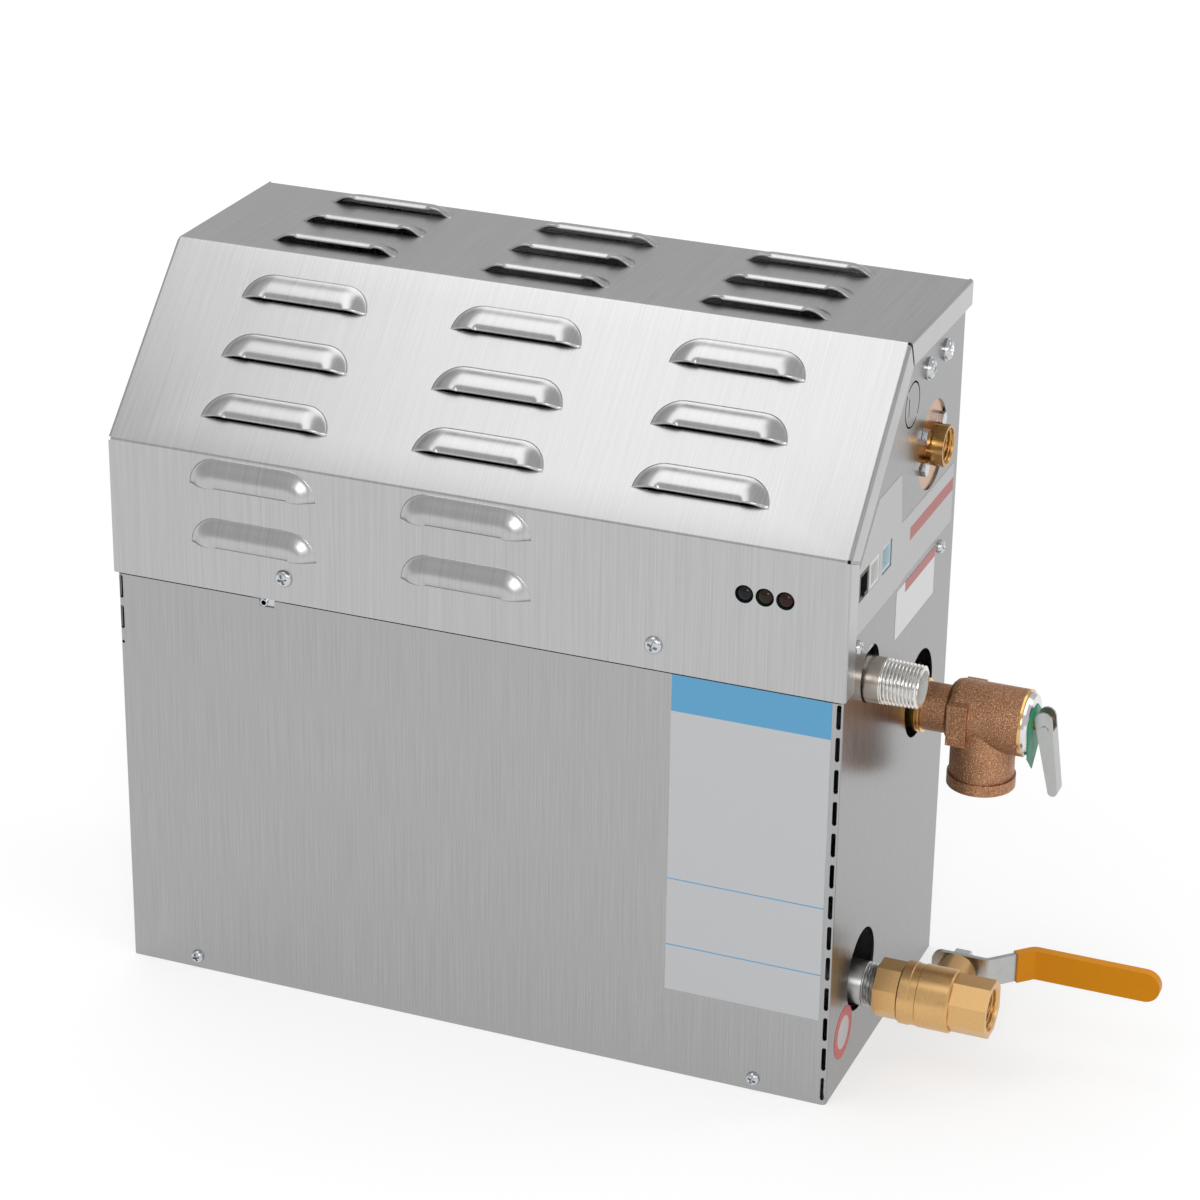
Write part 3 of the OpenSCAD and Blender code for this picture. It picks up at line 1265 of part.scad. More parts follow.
// Folded channel: two cheeks, and a web on the outer side below the pin
module relief_lever() color(ZINC) at_pin() rotate([0, 0, lever_tilt]) difference() {
    translate([0, 0, -lever_w / 2]) linear_extrude(lever_w) lever_blade();
    translate([0, 0, lever_sheet - lever_w / 2]) linear_extrude(lever_w - 2 * lever_sheet) {
        translate([-lever_sheet, 0]) lever_blade();
        translate([-2 * lever_head_r, -lever_sheet]) square([4 * lever_head_r, 4 * lever_head_r]);
        translate([-2 * lever_head_r, -2 * lever_tip_down]) square([2 * lever_head_r, 4 * lever_tip_down]);
    }
    translate([0, 0, -lever_w]) cylinder(r = pin_r + running_play, h = 2 * lever_w);
}

module relief_pin() color(ZINC) at_pin() {
    translate([0, 0, -lever_w / 2 - head_gap]) cylinder(r = pin_r, h = lever_w + 2 * head_gap);
    for (way = [0, 1]) mirror([0, 0, way]) translate([0, 0, lever_w / 2 + head_gap])
        cylinder(r = pin_r * 1.6, h = pin_r / 2);
}

// Thin tag with a pointed end, hung on the stem
module relief_tag() color(GREEN) on_side(relief_y, relief_z, relief_out + cap_h) linear_extrude(tag_h) difference() {
    polygon([[-tag_up, -tag_w / 4], [-tag_up, tag_w / 4], [-tag_up / 2, tag_w / 2], [tag_down * 0.6, tag_w / 2],
        [tag_down, 0], [tag_down * 0.6, -tag_w / 2], [-tag_up / 2, -tag_w / 2]]);
    circle(stem_r + over / 2);
}

module drain_pipe() color(STEEL) translate([tank_right - tank_wall, back(drain_y), drain_z]) rotate([0, 90, 0])
    pipe(pipe_r, pipe_bore_r, side_x - tank_right + tank_wall + valve_gap + socket_l - hole_play);

module on_drain(out) on_side(drain_y, drain_z, out) children();

// Body of the ball valve: octagon, grooved barrel and the boss of the stem
module drain_valve_body() color(BRASS) difference() {
    union() {
        on_drain(valve_gap) prism(octagon, valve_af, inner_oct_l);
        on_drain(barrel_start) rotate_extrude() polygon([[0, 0], [barrel_r - 2 * groove, 0],
            [barrel_r, 2 * groove], [barrel_r, barrel_l * 0.2],
            [barrel_r - groove, barrel_l * 0.2 + groove], [barrel_r - groove, barrel_l * 0.36],
            [barrel_r, barrel_l * 0.36 + groove], [barrel_r, barrel_l - 2 * groove],
            [barrel_r - 2 * groove, barrel_l], [0, barrel_l]]);
        on_drain(ball_out) rotate([-90, 0, 0]) cylinder(r = boss_r, h = boss_reach);
    }
    on_drain(valve_gap - over) cylinder(r = pipe_r + hole_play, h = socket_l + over);
    on_drain(valve_gap) cylinder(r = waterway_r, h = barrel_start);
    on_drain(barrel_end) prism(octagon, valve_af + 2 * hole_play, outer_oct_l);
    on_drain(ball_out - seat_reach - hole_play)
        cylinder(r = seat_ring_r + 2 * hole_play, h = seat_reach + ball_back + over);
    on_drain(barrel_end - end_spigot_l - hole_play)
        cylinder(r = end_spigot_r + 2 * hole_play, h = end_spigot_l + hole_play + over);
    on_drain(ball_out) rotate([-90, 0, 0]) {
        cylinder(r = valve_stem_r + 2 * running_play, h = boss_reach + over);
        translate([0, 0, boss_reach - gland_l]) cylinder(r = gland_r + hole_play, h = gland_l + over);
    }
}

// Octagon with the outlet's thread, and the spigot that holds the outer seat
module drain_valve_end() color(BRASS) difference() {
    union() {
        on_drain(barrel_end) prism(octagon, valve_af, outer_oct_l);
        on_drain(barrel_end - end_spigot_l) cylinder(r = end_spigot_r, h = end_spigot_l + over);
    }
    on_drain(barrel_end - end_spigot_l - over)
        cylinder(r = seat_ring_r + 2 * hole_play, h = seat_reach - ball_back + end_spigot_l + over);
    on_drain(barrel_end) cylinder(r = waterway_r, h = outer_oct_l);
    on_drain(valve_end - drain_bore_l) cylinder(r = drain_bore_r, h = drain_bore_l + over);
}

module drain_valve_ball() color(CHROME) on_drain(ball_out) difference() {
    sphere(ball_r);
    translate([0, 0, -ball_r - over]) cylinder(r = waterway_r, h = 2 * ball_r + 2 * over);
    translate([-2 * ball_r, ball_r - ball_slot, -tang / 2 - hole_play])
        cube([4 * ball_r, ball_slot + over, tang + 2 * hole_play]);
}

module drain_valve_seats() color(WHITE) on_drain(ball_out) for (way = [0, 1]) mirror([0, 0, way]) difference() {
    translate([0, 0, seat_near]) pipe(seat_ring_r, waterway_r, seat_reach - seat_near);
    sphere(ball_r + running_play);
}

// Stem from the ball's slot to the handle's nut
module drain_valve_stem() color(BRASS) on_drain(ball_out) rotate([-90, 0, 0]) {
    translate([0, 0, ball_r + hole_play]) cylinder(r = valve_stem_r, h = plate_top + nut_h + over - ball_r - hole_play);
    translate([-valve_stem_r * 0.8, -tang / 2, ball_r - ball_slot + hole_play])
        cube([valve_stem_r * 1.6, tang, ball_slot + over]);
}

module packing_nut() color(BRASS) on_drain(ball_out) rotate([-90, 0, 0]) difference() {
    union() {
        translate([0, 0, boss_reach - gland_l]) cylinder(r = gland_r, h = gland_l + over / 2);
        translate([0, 0, boss_reach]) prism(hexagon, gland_af, plate_reach - boss_reach - moving_gap);
    }
    translate([0, 0, boss_reach - gland_l - over])
        cylinder(r = valve_stem_r + running_play, h = plate_reach - boss_reach + gland_l + 2 * over);
}

// The handle's pivot, with the handle towards x and its bends towards y
module at_handle() translate([side_x + ball_out, back(drain_y), drain_z]) children();

module drain_lever() color(ZINC) at_handle() difference() {
    intersection() {
        translate([0, 0, -plate_w]) linear_extrude(2 * plate_w) polygon(bent_sheet(handle_path, plate_h, plate_bend));
        rotate([90, 0, 0]) translate([0, 0, -plate_top * 3]) linear_extrude(plate_top * 4) {
            translate([-plate_back + plate_w / 3, -plate_w / 2]) square([handle_l + plate_back - plate_w * 5 / 6, plate_w]);
            translate([-plate_back, -plate_w / 6]) square([plate_w, plate_w / 3]);
            for (z = [-1, 1]) translate([plate_w / 3 - plate_back, z * plate_w / 6]) circle(plate_w / 3);
            translate([handle_l - plate_w / 2, 0]) circle(plate_w / 2);
        }
    }
    rotate([-90, 0, 0]) cylinder(r = valve_stem_r + hole_play, h = plate_top + over);
}

module lever_sleeve() color(YELLOW) difference() {
    at_handle() intersection() {
        translate([0, 0, -plate_w]) linear_extrude(2 * plate_w)
            polygon(bent_sheet(sleeve_path, plate_h, plate_bend, sleeve_wall));
        rotate([90, 0, 0]) translate([0, 0, -plate_top * 3]) linear_extrude(plate_top * 4) {
            translate([0, -plate_w / 2 - sleeve_edge])
                square([handle_l + sleeve_wall - plate_w / 2 - sleeve_edge, plate_w + 2 * sleeve_edge]);
            translate([handle_l + sleeve_wall - plate_w / 2 - sleeve_edge, 0]) circle(plate_w / 2 + sleeve_edge);
        }
    }
    drain_lever();
}

module lever_nut() color(ZINC) on_drain(ball_out) rotate([-90, 0, 0]) translate([0, 0, plate_top]) difference() {
    prism(hexagon, nut_af, nut_h);
    translate([0, 0, -over]) cylinder(r = valve_stem_r + hole_play, h = nut_h + 2 * over);
}

base_pan();
lower_wrap();
back_panel();
hood_cover();
electrical_shelf();
cover_screws();
shelf_screws();
base_screws();
bracket_screws();
cover_locator();
indicator_lights();
lamp_board();
control_board();
board_standoffs();
remote_socket();
white_port();
blue_port();
transformer();
contactor_base();
contactor_armature();
terminal_block();
tank_shell();
tank_saddles();
element_flange();
element_gasket();
heating_element();
element_bolts();
level_probe();
overheat_cutout();
fill_valve_body();
fill_valve_coil();
fill_valve_plunger();
fill_valve_spring();
flange_screws();
fill_valve_bracket();
fill_tube();
steam_pipe();
relief_bushing();
relief_body();
relief_disc();
relief_spring();
relief_cap();
relief_lever();
relief_pin();
relief_tag();
drain_pipe();
drain_valve_body();
drain_valve_end();
drain_valve_ball();
drain_valve_seats();
drain_valve_stem();
packing_nut();
drain_lever();
lever_sleeve();
lever_nut();
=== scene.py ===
import math

import bmesh
import bpy
import numpy as np
from mathutils import Matrix, Vector
from mathutils.geometry import tessellate_polygon


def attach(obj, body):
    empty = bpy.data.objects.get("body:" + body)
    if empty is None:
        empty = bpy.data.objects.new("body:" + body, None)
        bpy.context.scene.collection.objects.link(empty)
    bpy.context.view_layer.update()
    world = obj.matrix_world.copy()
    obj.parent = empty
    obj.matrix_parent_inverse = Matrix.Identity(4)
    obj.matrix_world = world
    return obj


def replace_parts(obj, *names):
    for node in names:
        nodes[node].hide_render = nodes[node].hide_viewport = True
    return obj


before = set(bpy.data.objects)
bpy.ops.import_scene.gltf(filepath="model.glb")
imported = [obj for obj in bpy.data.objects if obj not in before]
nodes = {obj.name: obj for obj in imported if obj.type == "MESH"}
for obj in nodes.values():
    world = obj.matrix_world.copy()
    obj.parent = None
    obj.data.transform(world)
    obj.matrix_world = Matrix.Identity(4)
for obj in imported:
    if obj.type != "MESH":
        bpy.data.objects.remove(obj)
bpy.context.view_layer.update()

# The camera stands at the photograph's viewpoint: about 22 degrees to the right of the front and 24 degrees
# above it, with a long lens and no shift. Its frame is square.
EYE = Vector((0.63631, -1.52431, 0.93598))
LOOK = Vector((-0.33564, 0.84935, -0.40736))
RIGHT = Vector((0.92771, 0.37306, 0.013455))
camera = bpy.data.objects.new("camera", bpy.data.cameras.new("camera"))
camera.data.sensor_width = 36.0
camera.data.lens = 108.80
camera.data.clip_start = 0.05
camera.data.clip_end = 50.0
turn = Matrix((RIGHT, RIGHT.cross(LOOK).normalized(), -LOOK)).transposed()
camera.matrix_world = Matrix.Translation(EYE) @ turn.to_4x4()
bpy.context.scene.collection.objects.link(camera)
bpy.context.scene.camera = camera
bpy.context.scene.view_settings.view_transform = "Standard"


# The base pan is folded from galvanised sheet, whose zinc has a faint spangle. The shelf, the saddles under
# the tank and the bracket of the fill valve are cut from the same sheet.
class Wire:
    """A socket of a material's nodes that takes part in sums."""

    def __init__(self, tree, socket):
        self.tree = tree
        self.socket = socket

    def node(self, kind, settings=None, **inputs):
        """Adds a node of a type, makes its settings, and joins values or wires to its inputs."""
        new = self.tree.nodes.new(kind)
        for name, value in (settings or {}).items():
            setattr(new, name, value)
        for name, value in inputs.items():
            key = int(name[1:]) if name[0] == "i" and name[1:].isdigit() else name.replace("_", " ")
            if isinstance(value, Wire):
                self.tree.links.new(value.socket, new.inputs[key])
            else:
                new.inputs[key].default_value = value
        return new

    def made(self, kind, output=0, settings=None, **inputs):
        """The output of a new node, as a wire."""
        return Wire(self.tree, self.node(kind, settings, **inputs).outputs[output])

    def maths(self, operation, *values):
        """The result of a sum on wires or numbers."""
        return self.made("ShaderNodeMath", 0, {"operation": operation},
                         **{f"i{i}": v for i, v in enumerate(values)})

    def __add__(self, other):
        return self.maths("ADD", self, other)

    def __sub__(self, other):
        return self.maths("SUBTRACT", self, other)

    def __rsub__(self, other):
        return self.maths("SUBTRACT", other, self)

    def __mul__(self, other):
        return self.maths("MULTIPLY", self, other)

    def __gt__(self, other):
        return self.maths("GREATER_THAN", self, other)

    def __lt__(self, other):
        return self.maths("LESS_THAN", self, other)

    def mixed(self, low, high):
        """The colour low where this wire is 0, and high where it is 1."""
        a, b = ((*c, 1.0) if isinstance(c, tuple) else c for c in (low, high))
        return self.made("ShaderNodeMix", 2, {"data_type": "RGBA"}, i0=self, i6=a, i7=b)


class Finish:
    """A material of one shader, with the object's own coordinates in metres to hand."""

    def __init__(self, name, colour, metallic=0.0, roughness=0.5, **fixed):
        self.material = bpy.data.materials.new(name)
        self.material.use_nodes = True
        tree = self.material.node_tree
        self.shader = next(n for n in tree.nodes if n.type == "BSDF_PRINCIPLED")
        self.wire = Wire(tree, None)
        self.set(Base_Color=(*colour, 1.0), Metallic=metallic, Roughness=roughness, **fixed)
        self.material.diffuse_color = (*colour, 1.0)

    def set(self, **inputs):
        """Joins wires or values to the shader's sockets."""
        for name, value in inputs.items():
            socket = self.shader.inputs[name.replace("_", " ")]
            if isinstance(value, Wire):
                self.wire.tree.links.new(value.socket, socket)
            else:
                socket.default_value = value
        return self

    def place(self, scale=(1.0, 1.0, 1.0)):
        """Object coordinates, stretched by a scale for each axis."""
        at = self.wire.made("ShaderNodeTexCoord", "Object")
        return self.wire.made("ShaderNodeMapping", 0, None, Vector=at, Scale=scale)

    def along(self, axis):
        """The coordinate in metres along axis X, Y or Z."""
        return self.wire.made("ShaderNodeSeparateXYZ", axis, None, Vector=self.place())

    def distance(self, point, scale=(1.0, 1.0, 1.0)):
        """Distance in metres from a point, or from a line along an axis whose scale is 0."""
        return self.wire.made("ShaderNodeVectorMath", "Value", {"operation": "DISTANCE"},
                              i0=self.place(scale=scale), i1=point)

    def noise(self, at, scale, detail=2.0, roughness=0.5):
        """Noise of about scale waves a metre, 0 to 1 about a middle of 0.5."""
        return self.wire.made("ShaderNodeTexNoise", 0, None, Vector=at, Scale=scale, Detail=detail,
                              Roughness=roughness)

    def bump(self, height, strength, distance):
        """Raises the surface by distance where height is 1."""
        normal = self.wire.made("ShaderNodeBump", 0, None, Height=height, Strength=strength, Distance=distance)
        return self.set(Normal=normal)


def paint(finish, *names):
    """Gives CAD nodes a finish."""
    for name in names:
        mesh = nodes[name].data
        mesh.materials.clear()
        mesh.materials.append(finish.material)


zinc_sheet = Finish("galvanised_spangle", (0.60, 0.62, 0.64), metallic=1.0, roughness=0.42)
spangle = zinc_sheet.wire.made("ShaderNodeTexVoronoi", "Color", None, Vector=zinc_sheet.place(), Scale=160.0)
zinc_sheet.set(Roughness=zinc_sheet.wire.made("ShaderNodeSeparateColor", 0, None, Color=spangle) * 0.25 + 0.3)
paint(zinc_sheet, "base_pan", "electrical_shelf", "tank_saddles", "fill_valve_bracket")


# The tank is welded from plain rolled stainless sheet, and stands on its saddles. The level probe, the
# heater's flange and the fill valve's plunger are of the same dull steel. The heater and the fill tube are
# drawn copper.
def lighter(colour, share):
    """A colour times a share, with white as its limit."""
    return tuple(min(1.0, c * share) for c in colour)


def cloudy(name, colour, scale, metallic=1.0, rough=(0.3, 0.5), spread=0.12, dent=0.0):
    """A finish whose roughness and colour drift with a noise of that scale; dent is its surface's depth."""
    made = Finish(name, colour, metallic=metallic, roughness=rough[0])
    drift = made.noise(made.place(), scale, detail=3.0)
    made.set(Roughness=drift * (rough[1] - rough[0]) + rough[0])
    made.set(Base_Color=drift.mixed(lighter(colour, 1 - spread), lighter(colour, 1 + spread)))
    return made.bump(drift, 0.3, dent) if dent else made


paint(cloudy("rolled_stainless", (0.52, 0.52, 0.52), 60.0, rough=(0.34, 0.52)), "tank_shell", "element_flange",
      "level_probe", "fill_valve_plunger")
paint(cloudy("black_rubber", (0.02, 0.02, 0.021), 400.0, metallic=0.0, rough=(0.7, 0.9), dent=0.0001),
      "element_gasket")
paint(cloudy("drawn_copper", (0.62, 0.30, 0.17), 90.0, rough=(0.22, 0.40)), "heating_element", "fill_tube")


# The back panel and the wrap are stainless sheet with a fine belt grain that stands upright. The wrap is one
# sheet: the lower front and both sides, slotted along its front folds and bent.
SIDE = 0.18865
HAIR = 1500.0
LONG = 18.0


def grained(name, colour, stretch, rough=0.30, side_shade=1.0):
    """Brushed sheet: noise drawn out along the grain varies the colour, the roughness and the surface.

    The last argument is the share of the colour that the right side keeps: painted shade that darkens that
    side.
    """
    made = Finish(name, colour, metallic=1.0, roughness=rough)
    fine = made.noise(made.place(scale=stretch), 1.0, detail=3.0, roughness=0.6)
    shade = fine * 2.4 - 0.7
    tone, side_shaded = (shade.mixed(lighter(colour, 0.92 * kept), lighter(colour, 1.08 * kept))
                    for kept in (1.0, side_shade))
    # The right side takes the darker copy of the colour: painted shade.
    made.set(Base_Color=(made.along("X") > SIDE - 0.0002).mixed(tone, side_shaded))
    made.set(Roughness=fine * 0.12 + (rough - 0.06))
    return made.bump(fine, 0.08, 0.0002)


# The wrap's right side is painted in shade, at 0.72 of its colour.
paint(grained("upright_grain", (0.395, 0.395, 0.398), (HAIR, HAIR, LONG), rough=0.26, side_shade=0.72), "lower_wrap",
      "back_panel")

# The cover is one folded stainless sheet: front, slope and top, with slit flanges down both sides. Its grain
# runs up the front, the slope and the top. The sheet keeps the solid's own faces, and its pressed louvres are
# drawn smooth below.
FRONT = -0.086
FOLD_Z = 0.2863
TOP_Z = 0.3653
FOLD_Y = FRONT + 0.0785
SLOPE = math.atan2(TOP_Z - FOLD_Z, FOLD_Y - FRONT)
SLOPE_UP = np.array([0.0, -math.sin(SLOPE), math.cos(SLOPE)])
COVER_X = -0.00085
PROUD = 0.00003


def place_all(name, pieces, finish, body="cabinet", sharp=None):
    """Makes one object of several (points, faces) pieces, with a finish, and lets it ride on a body.

    Corners that meet are merged, and edges that turn by more than sharp degrees stay sharp.
    """
    points, faces, base = [], [], 0
    for p, f in pieces:
        points.append(np.asarray(p, float).reshape(-1, 3))
        faces += [tuple(int(i) + base for i in face) for face in f]
        base += len(points[-1])
    mesh = bpy.data.meshes.new(name)
    mesh.from_pydata(np.concatenate(points).tolist(), [], faces)
    work = bmesh.new()
    work.from_mesh(mesh)
    bmesh.ops.delete(work, geom=[v for v in work.verts if not v.link_faces], context="VERTS")
    bmesh.ops.remove_doubles(work, verts=work.verts, dist=1e-6)
    work.to_mesh(mesh)
    work.free()
    mesh.polygons.foreach_set("use_smooth", np.ones(len(mesh.polygons), bool))
    if sharp is not None:
        mesh.set_sharp_from_angle(angle=math.radians(sharp))
    mesh.materials.append(finish.material)
    made = bpy.data.objects.new(name, mesh)
    bpy.context.scene.collection.objects.link(made)
    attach(made, body)
    return made


def corners(node):
    """The points of a CAD node, as rows."""
    return np.array([v.co for v in nodes[node].data.vertices], float)


def copied(node, dropped):
    """Points and faces of a CAD node, without the faces whose corners all pass the test dropped."""
    points = corners(node)
    gone = dropped(points)
    return points, [f.vertices[:] for f in nodes[node].data.polygons if not all(gone[i] for i in f.vertices)]


def grid(points, closed=(False, False), inwards=False):
    """Points and quads of a grid of shape (rows, columns, 3), joined end to end where closed says so."""
    rows, columns = points.shape[:2]
    r = np.arange(rows - (0 if closed[0] else 1))[:, None]
    c = np.arange(columns - (0 if closed[1] else 1))[None, :]
    r1, c1 = (r + 1) % rows, (c + 1) % columns
    ring = np.broadcast_arrays(r * columns + c, r * columns + c1, r1 * columns + c1, r1 * columns + c)
    quads = np.stack(ring, -1).reshape(-1, 4)
    return points.reshape(-1, 3), quads[:, ::-1] if inwards else quads


def framed(at, x, y, z):
    """Turns points drawn about the origin onto axes x, y and z at a place."""
    axes = np.array([x, y, z], float)
    return lambda points: np.asarray(points) @ axes + np.asarray(at, float)


def proud(points):
    """True for points that stand out of the front, the slope and the top by more than 0.03 mm."""
    out = [FRONT - points[:, 1], (points - (0, FRONT, FOLD_Z)) @ SLOPE_UP, points[:, 2] - TOP_Z]
    return np.maximum.reduce(out) > PROUD


# The cover's colour is set lighter than the wrap's: a painted sheen for the brighter reflection its grain
# catches from above.
cover_steel_with_sheen = grained("cover_grain", (0.475, 0.475, 0.48), (HAIR, LONG, LONG))
corner = corners("hood_cover")
raised = proud(corner)
flat = [f.vertices[:] for f in nodes["hood_cover"].data.polygons if not any(raised[i] for i in f.vertices)]
cover_sheet = place_all("cover_sheet", [(corner, flat)], cover_steel_with_sheen, sharp=25)

# Each louvre is pressed out of the cover: a long hood with round ends, open along its lip. Nine stand on the
# top and nine on the slope, in three columns, and four on the front, in the two columns on the left.
LOUVRE_L = 0.066
LOUVRE_D = 0.0147
LOUVRE_H = 0.0042
END_L = 0.014
LIP = 0.25
LIP_DROP = 0.33
OVERLAP = 0.00002
COLUMN_STEP = 0.112
TOP_FIRST, TOP_STEP = 0.0145, 0.0335
SLOPE_FIRST, SLOPE_STEP = 0.0275, 0.0325
FRONT_FIRST, FRONT_STEP = 0.0163, 0.031


def louvre_grid(along=18, ends=12, deep=20):
    """Height h (1 + cos(pi v^2)) / 2 over a stadium's half, where v runs from 0 at the lip to 1 at the root.

    Before v reaches the lip's share s, the height is less by a third of ((s - v) / s)^2.
    """
    straight = LOUVRE_L / 2 - END_L
    turn = np.linspace(0, math.pi / 2, ends)
    angle = np.concatenate([math.pi - turn, np.full(along, math.pi / 2), turn[::-1]])
    middle = np.concatenate([np.full(ends, -straight), np.linspace(-straight, straight, along + 2)[1:-1],
                             np.full(ends, straight)])
    v = np.linspace(0, 1, deep)[None, :]
    x = middle[:, None] + LOUVRE_D * v * np.cos(angle)[:, None]
    y = LOUVRE_D * v * np.sin(angle)[:, None]
    drop = 1 - LIP_DROP * np.clip((LIP - v) / LIP, 0, 1) ** 2
    z = np.broadcast_to(LOUVRE_H * drop * (1 + np.cos(math.pi * v * v)) / 2 + OVERLAP, x.shape)
    return np.stack([x, y, z], -1)


places = []
for column in (-1, 0, 1):
    x = COVER_X + column * COLUMN_STEP
    for row in range(3):
        down = SLOPE_FIRST + row * SLOPE_STEP
        places.append(((x, FOLD_Y - down * math.cos(SLOPE), TOP_Z - down * math.sin(SLOPE)),
                       (0, math.cos(SLOPE), math.sin(SLOPE)), SLOPE_UP))
        places.append(((x, FOLD_Y + TOP_FIRST + row * TOP_STEP, TOP_Z), (0, 1, 0), (0, 0, 1)))
    if column < 1:
        for row in range(2):
            places.append(((x, FRONT, FOLD_Z - FRONT_FIRST - row * FRONT_STEP), (0, 0, 1), (0, -1, 0)))
points, quads = grid(louvre_grid(), inwards=True)
louvres = place_all("cover_louvres", [(framed(at, (1, 0, 0), root, out)(points), quads)
                                      for at, root, out in places], cover_steel_with_sheen)
wall = louvres.modifiers.new("wall", "SOLIDIFY")
wall.thickness = 0.001
wall.offset = -1.0
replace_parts(cover_sheet, "hood_cover")

# Cross-recess pan head screws of bright zinc hold the sheets together. Two larger ones with washers carry the
# bracket of the fill valve.
BACK = 0.085
HEAD_H = 0.0024
SHANK_R = 0.002
SHANK_L = 0.008
WASHER_R = 0.0055
WASHER_H = 0.001
COVER_HEAD_R = 0.0045
SHEET_HEAD_R = 0.0035
BRACKET_HEAD_R = 0.005
TO_FRONT, TO_BACK, TO_RIGHT = (0, -1, 0), (0, 1, 0), (1, 0, 0)
bright = cloudy("bright_zinc", (0.56, 0.58, 0.60), 500.0, rough=(0.16, 0.30), spread=0.05)


def turned(profile, around=64):
    """Each (radius, height) of a profile, turned about the z axis."""
    r, h = np.array(profile, float).T[:, :, None]
    a = np.linspace(0, 2 * math.pi, around, endpoint=False)[None, :]
    return np.stack([r * np.cos(a), r * np.sin(a), h + 0 * a], -1)


def screw(radius, turn):
    """A pan head z = h (1 - (r/R)^3.2)^0.45 with a cross pressed into it, its shank and its point."""
    share = np.concatenate([np.linspace(0, 0.62, 15), np.linspace(0.66, 1, 10)])
    head = turned([(radius * s, HEAD_H * (1 - s ** 3.2) ** 0.45) for s in share])
    x = head[..., 0] * math.cos(turn) + head[..., 1] * math.sin(turn)
    y = head[..., 1] * math.cos(turn) - head[..., 0] * math.sin(turn)
    far, near = np.maximum(abs(x), abs(y)) / radius, np.minimum(abs(x), abs(y)) / radius
    head[..., 2] -= np.clip((0.56 - far) / 0.08, 0, 1) * np.clip((0.15 - near) / 0.05, 0, 1) * HEAD_H * 0.62
    below = turned([(radius, 0.0), (SHANK_R, 0.0), (SHANK_R, SHANK_R - SHANK_L), (0.0, -SHANK_L)])
    return grid(np.concatenate([head, below]), closed=(False, True), inwards=True)


def screws(node, places, radius, seat=0.0):
    """Screws at places on the cabinet's faces, over washers of height seat.

    Each place is a point and the way its head faces, and each screw is turned further than the last.
    """
    made = []
    for i, (at, out) in enumerate(places):
        out = np.array(out, float)
        side = np.cross((0.0, 0.0, 1.0), out)
        put = framed(np.array(at) + out * seat, side, np.cross(out, side), out)
        points, quads = screw(radius, turn=0.3 + 0.9 * i)
        made.append((put(points), quads))
        if seat:
            washer = turned([(0.0, -seat), (WASHER_R, -seat), (WASHER_R, -0.0001), (WASHER_R - 0.0002, 0.0),
                             (SHANK_R, 0.0)])
            points, quads = grid(washer, closed=(False, True))
            made.append((put(points), quads))
    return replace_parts(place_all(node + "_heads", made, bright, sharp=35), node)


screws("cover_screws", [((COVER_X + x, FRONT, 0.228), TO_FRONT) for x in (-0.096, 0.096)], COVER_HEAD_R)
screws("base_screws", [((x, FRONT, 0.0065), TO_FRONT) for x in (-0.1515, 0.1515)]
       + [((x, BACK, 0.0065), TO_BACK) for x in (-0.13, 0.13)], SHEET_HEAD_R)
screws("shelf_screws", [((way * SIDE, y, 0.236), (way, 0, 0)) for way in (-1, 1) for y in (-0.067, 0.062)]
       + [((x, BACK, 0.236), TO_BACK) for x in (-0.13, 0.13)], SHEET_HEAD_R)
screws("bracket_screws", [((SIDE, y, 0.3417), TO_RIGHT) for y in (0.0255, 0.0536)], BRACKET_HEAD_R,
       seat=WASHER_H)
paint(bright, "element_bolts", "flange_screws", "cover_locator", "fill_valve_spring", "relief_spring")

# Three dark tinted lenses stand on the lamp board behind the cover and fill its holes: blue-black, amber-brown
# and red-black. Each is a short cylinder under a dome.
LENS_Z = 0.2618
LENS_R = 0.0042
LENS_X = COVER_X + 0.1498
LENS_STEP = 0.010
LENS_FOOT = 0.006
LENS_SIDE = 0.0037
DOME_H = 0.0029
lens = Finish("tinted_lens", (0.012, 0.013, 0.02), roughness=0.10, Specular_IOR_Level=0.22)
across = lens.along("X")
middle = (across > LENS_X - LENS_STEP / 2).mixed((0.006, 0.008, 0.012), (0.020, 0.011, 0.004))
lens.set(Base_Color=(across > LENS_X + LENS_STEP / 2).mixed(middle, (0.026, 0.006, 0.005)))
dome = [(LENS_R * math.cos(a), LENS_SIDE + DOME_H * math.sin(a)) for a in np.linspace(0, math.pi / 2, 14)]
points, quads = grid(turned([(0.0, 0.0), (LENS_R, 0.0)] + dome), closed=(False, True))
lenses = place_all("lamp_lenses", [
    (framed((LENS_X + step, FRONT + LENS_FOOT, LENS_Z), (1, 0, 0), (0, 0, 1), TO_FRONT)(points), quads)
    for step in (-LENS_STEP, 0.0, LENS_STEP)], lens, sharp=40)
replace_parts(lenses, "indicator_lights")

# The control board is green laminate with black relays, grey capacitors and a bright heat sink; the sockets
# on its edge are moulded plastic.
BOARD_TOP = 0.2580
SINK_X = 0.118
board = Finish("green_laminate", (0.02, 0.13, 0.06), roughness=0.35)
tracks = board.noise(board.place(scale=(1.0, 3.0, 1.0)), 220.0, detail=1.0) > 0.56
laminate = tracks.mixed((0.015, 0.10, 0.045), (0.03, 0.20, 0.09))
parts = (board.along("X") > SINK_X).mixed((0.02, 0.02, 0.022), (0.55, 0.56, 0.57))
board.set(Base_Color=(board.along("Z") > BOARD_TOP + 0.0002).mixed(laminate, parts))
paint(board, "control_board")
paint(cloudy("lamp_board_green", (0.02, 0.13, 0.06), 200.0, metallic=0.0, rough=(0.3, 0.45)), "lamp_board")
paint(cloudy("black_moulding", (0.018, 0.018, 0.020), 300.0, metallic=0.0, rough=(0.30, 0.45)), "remote_socket",
      "contactor_base", "terminal_block", "overheat_cutout", "fill_valve_coil")
paint(cloudy("grey_moulding", (0.20, 0.20, 0.21), 300.0, metallic=0.0, rough=(0.35, 0.5)), "contactor_armature")
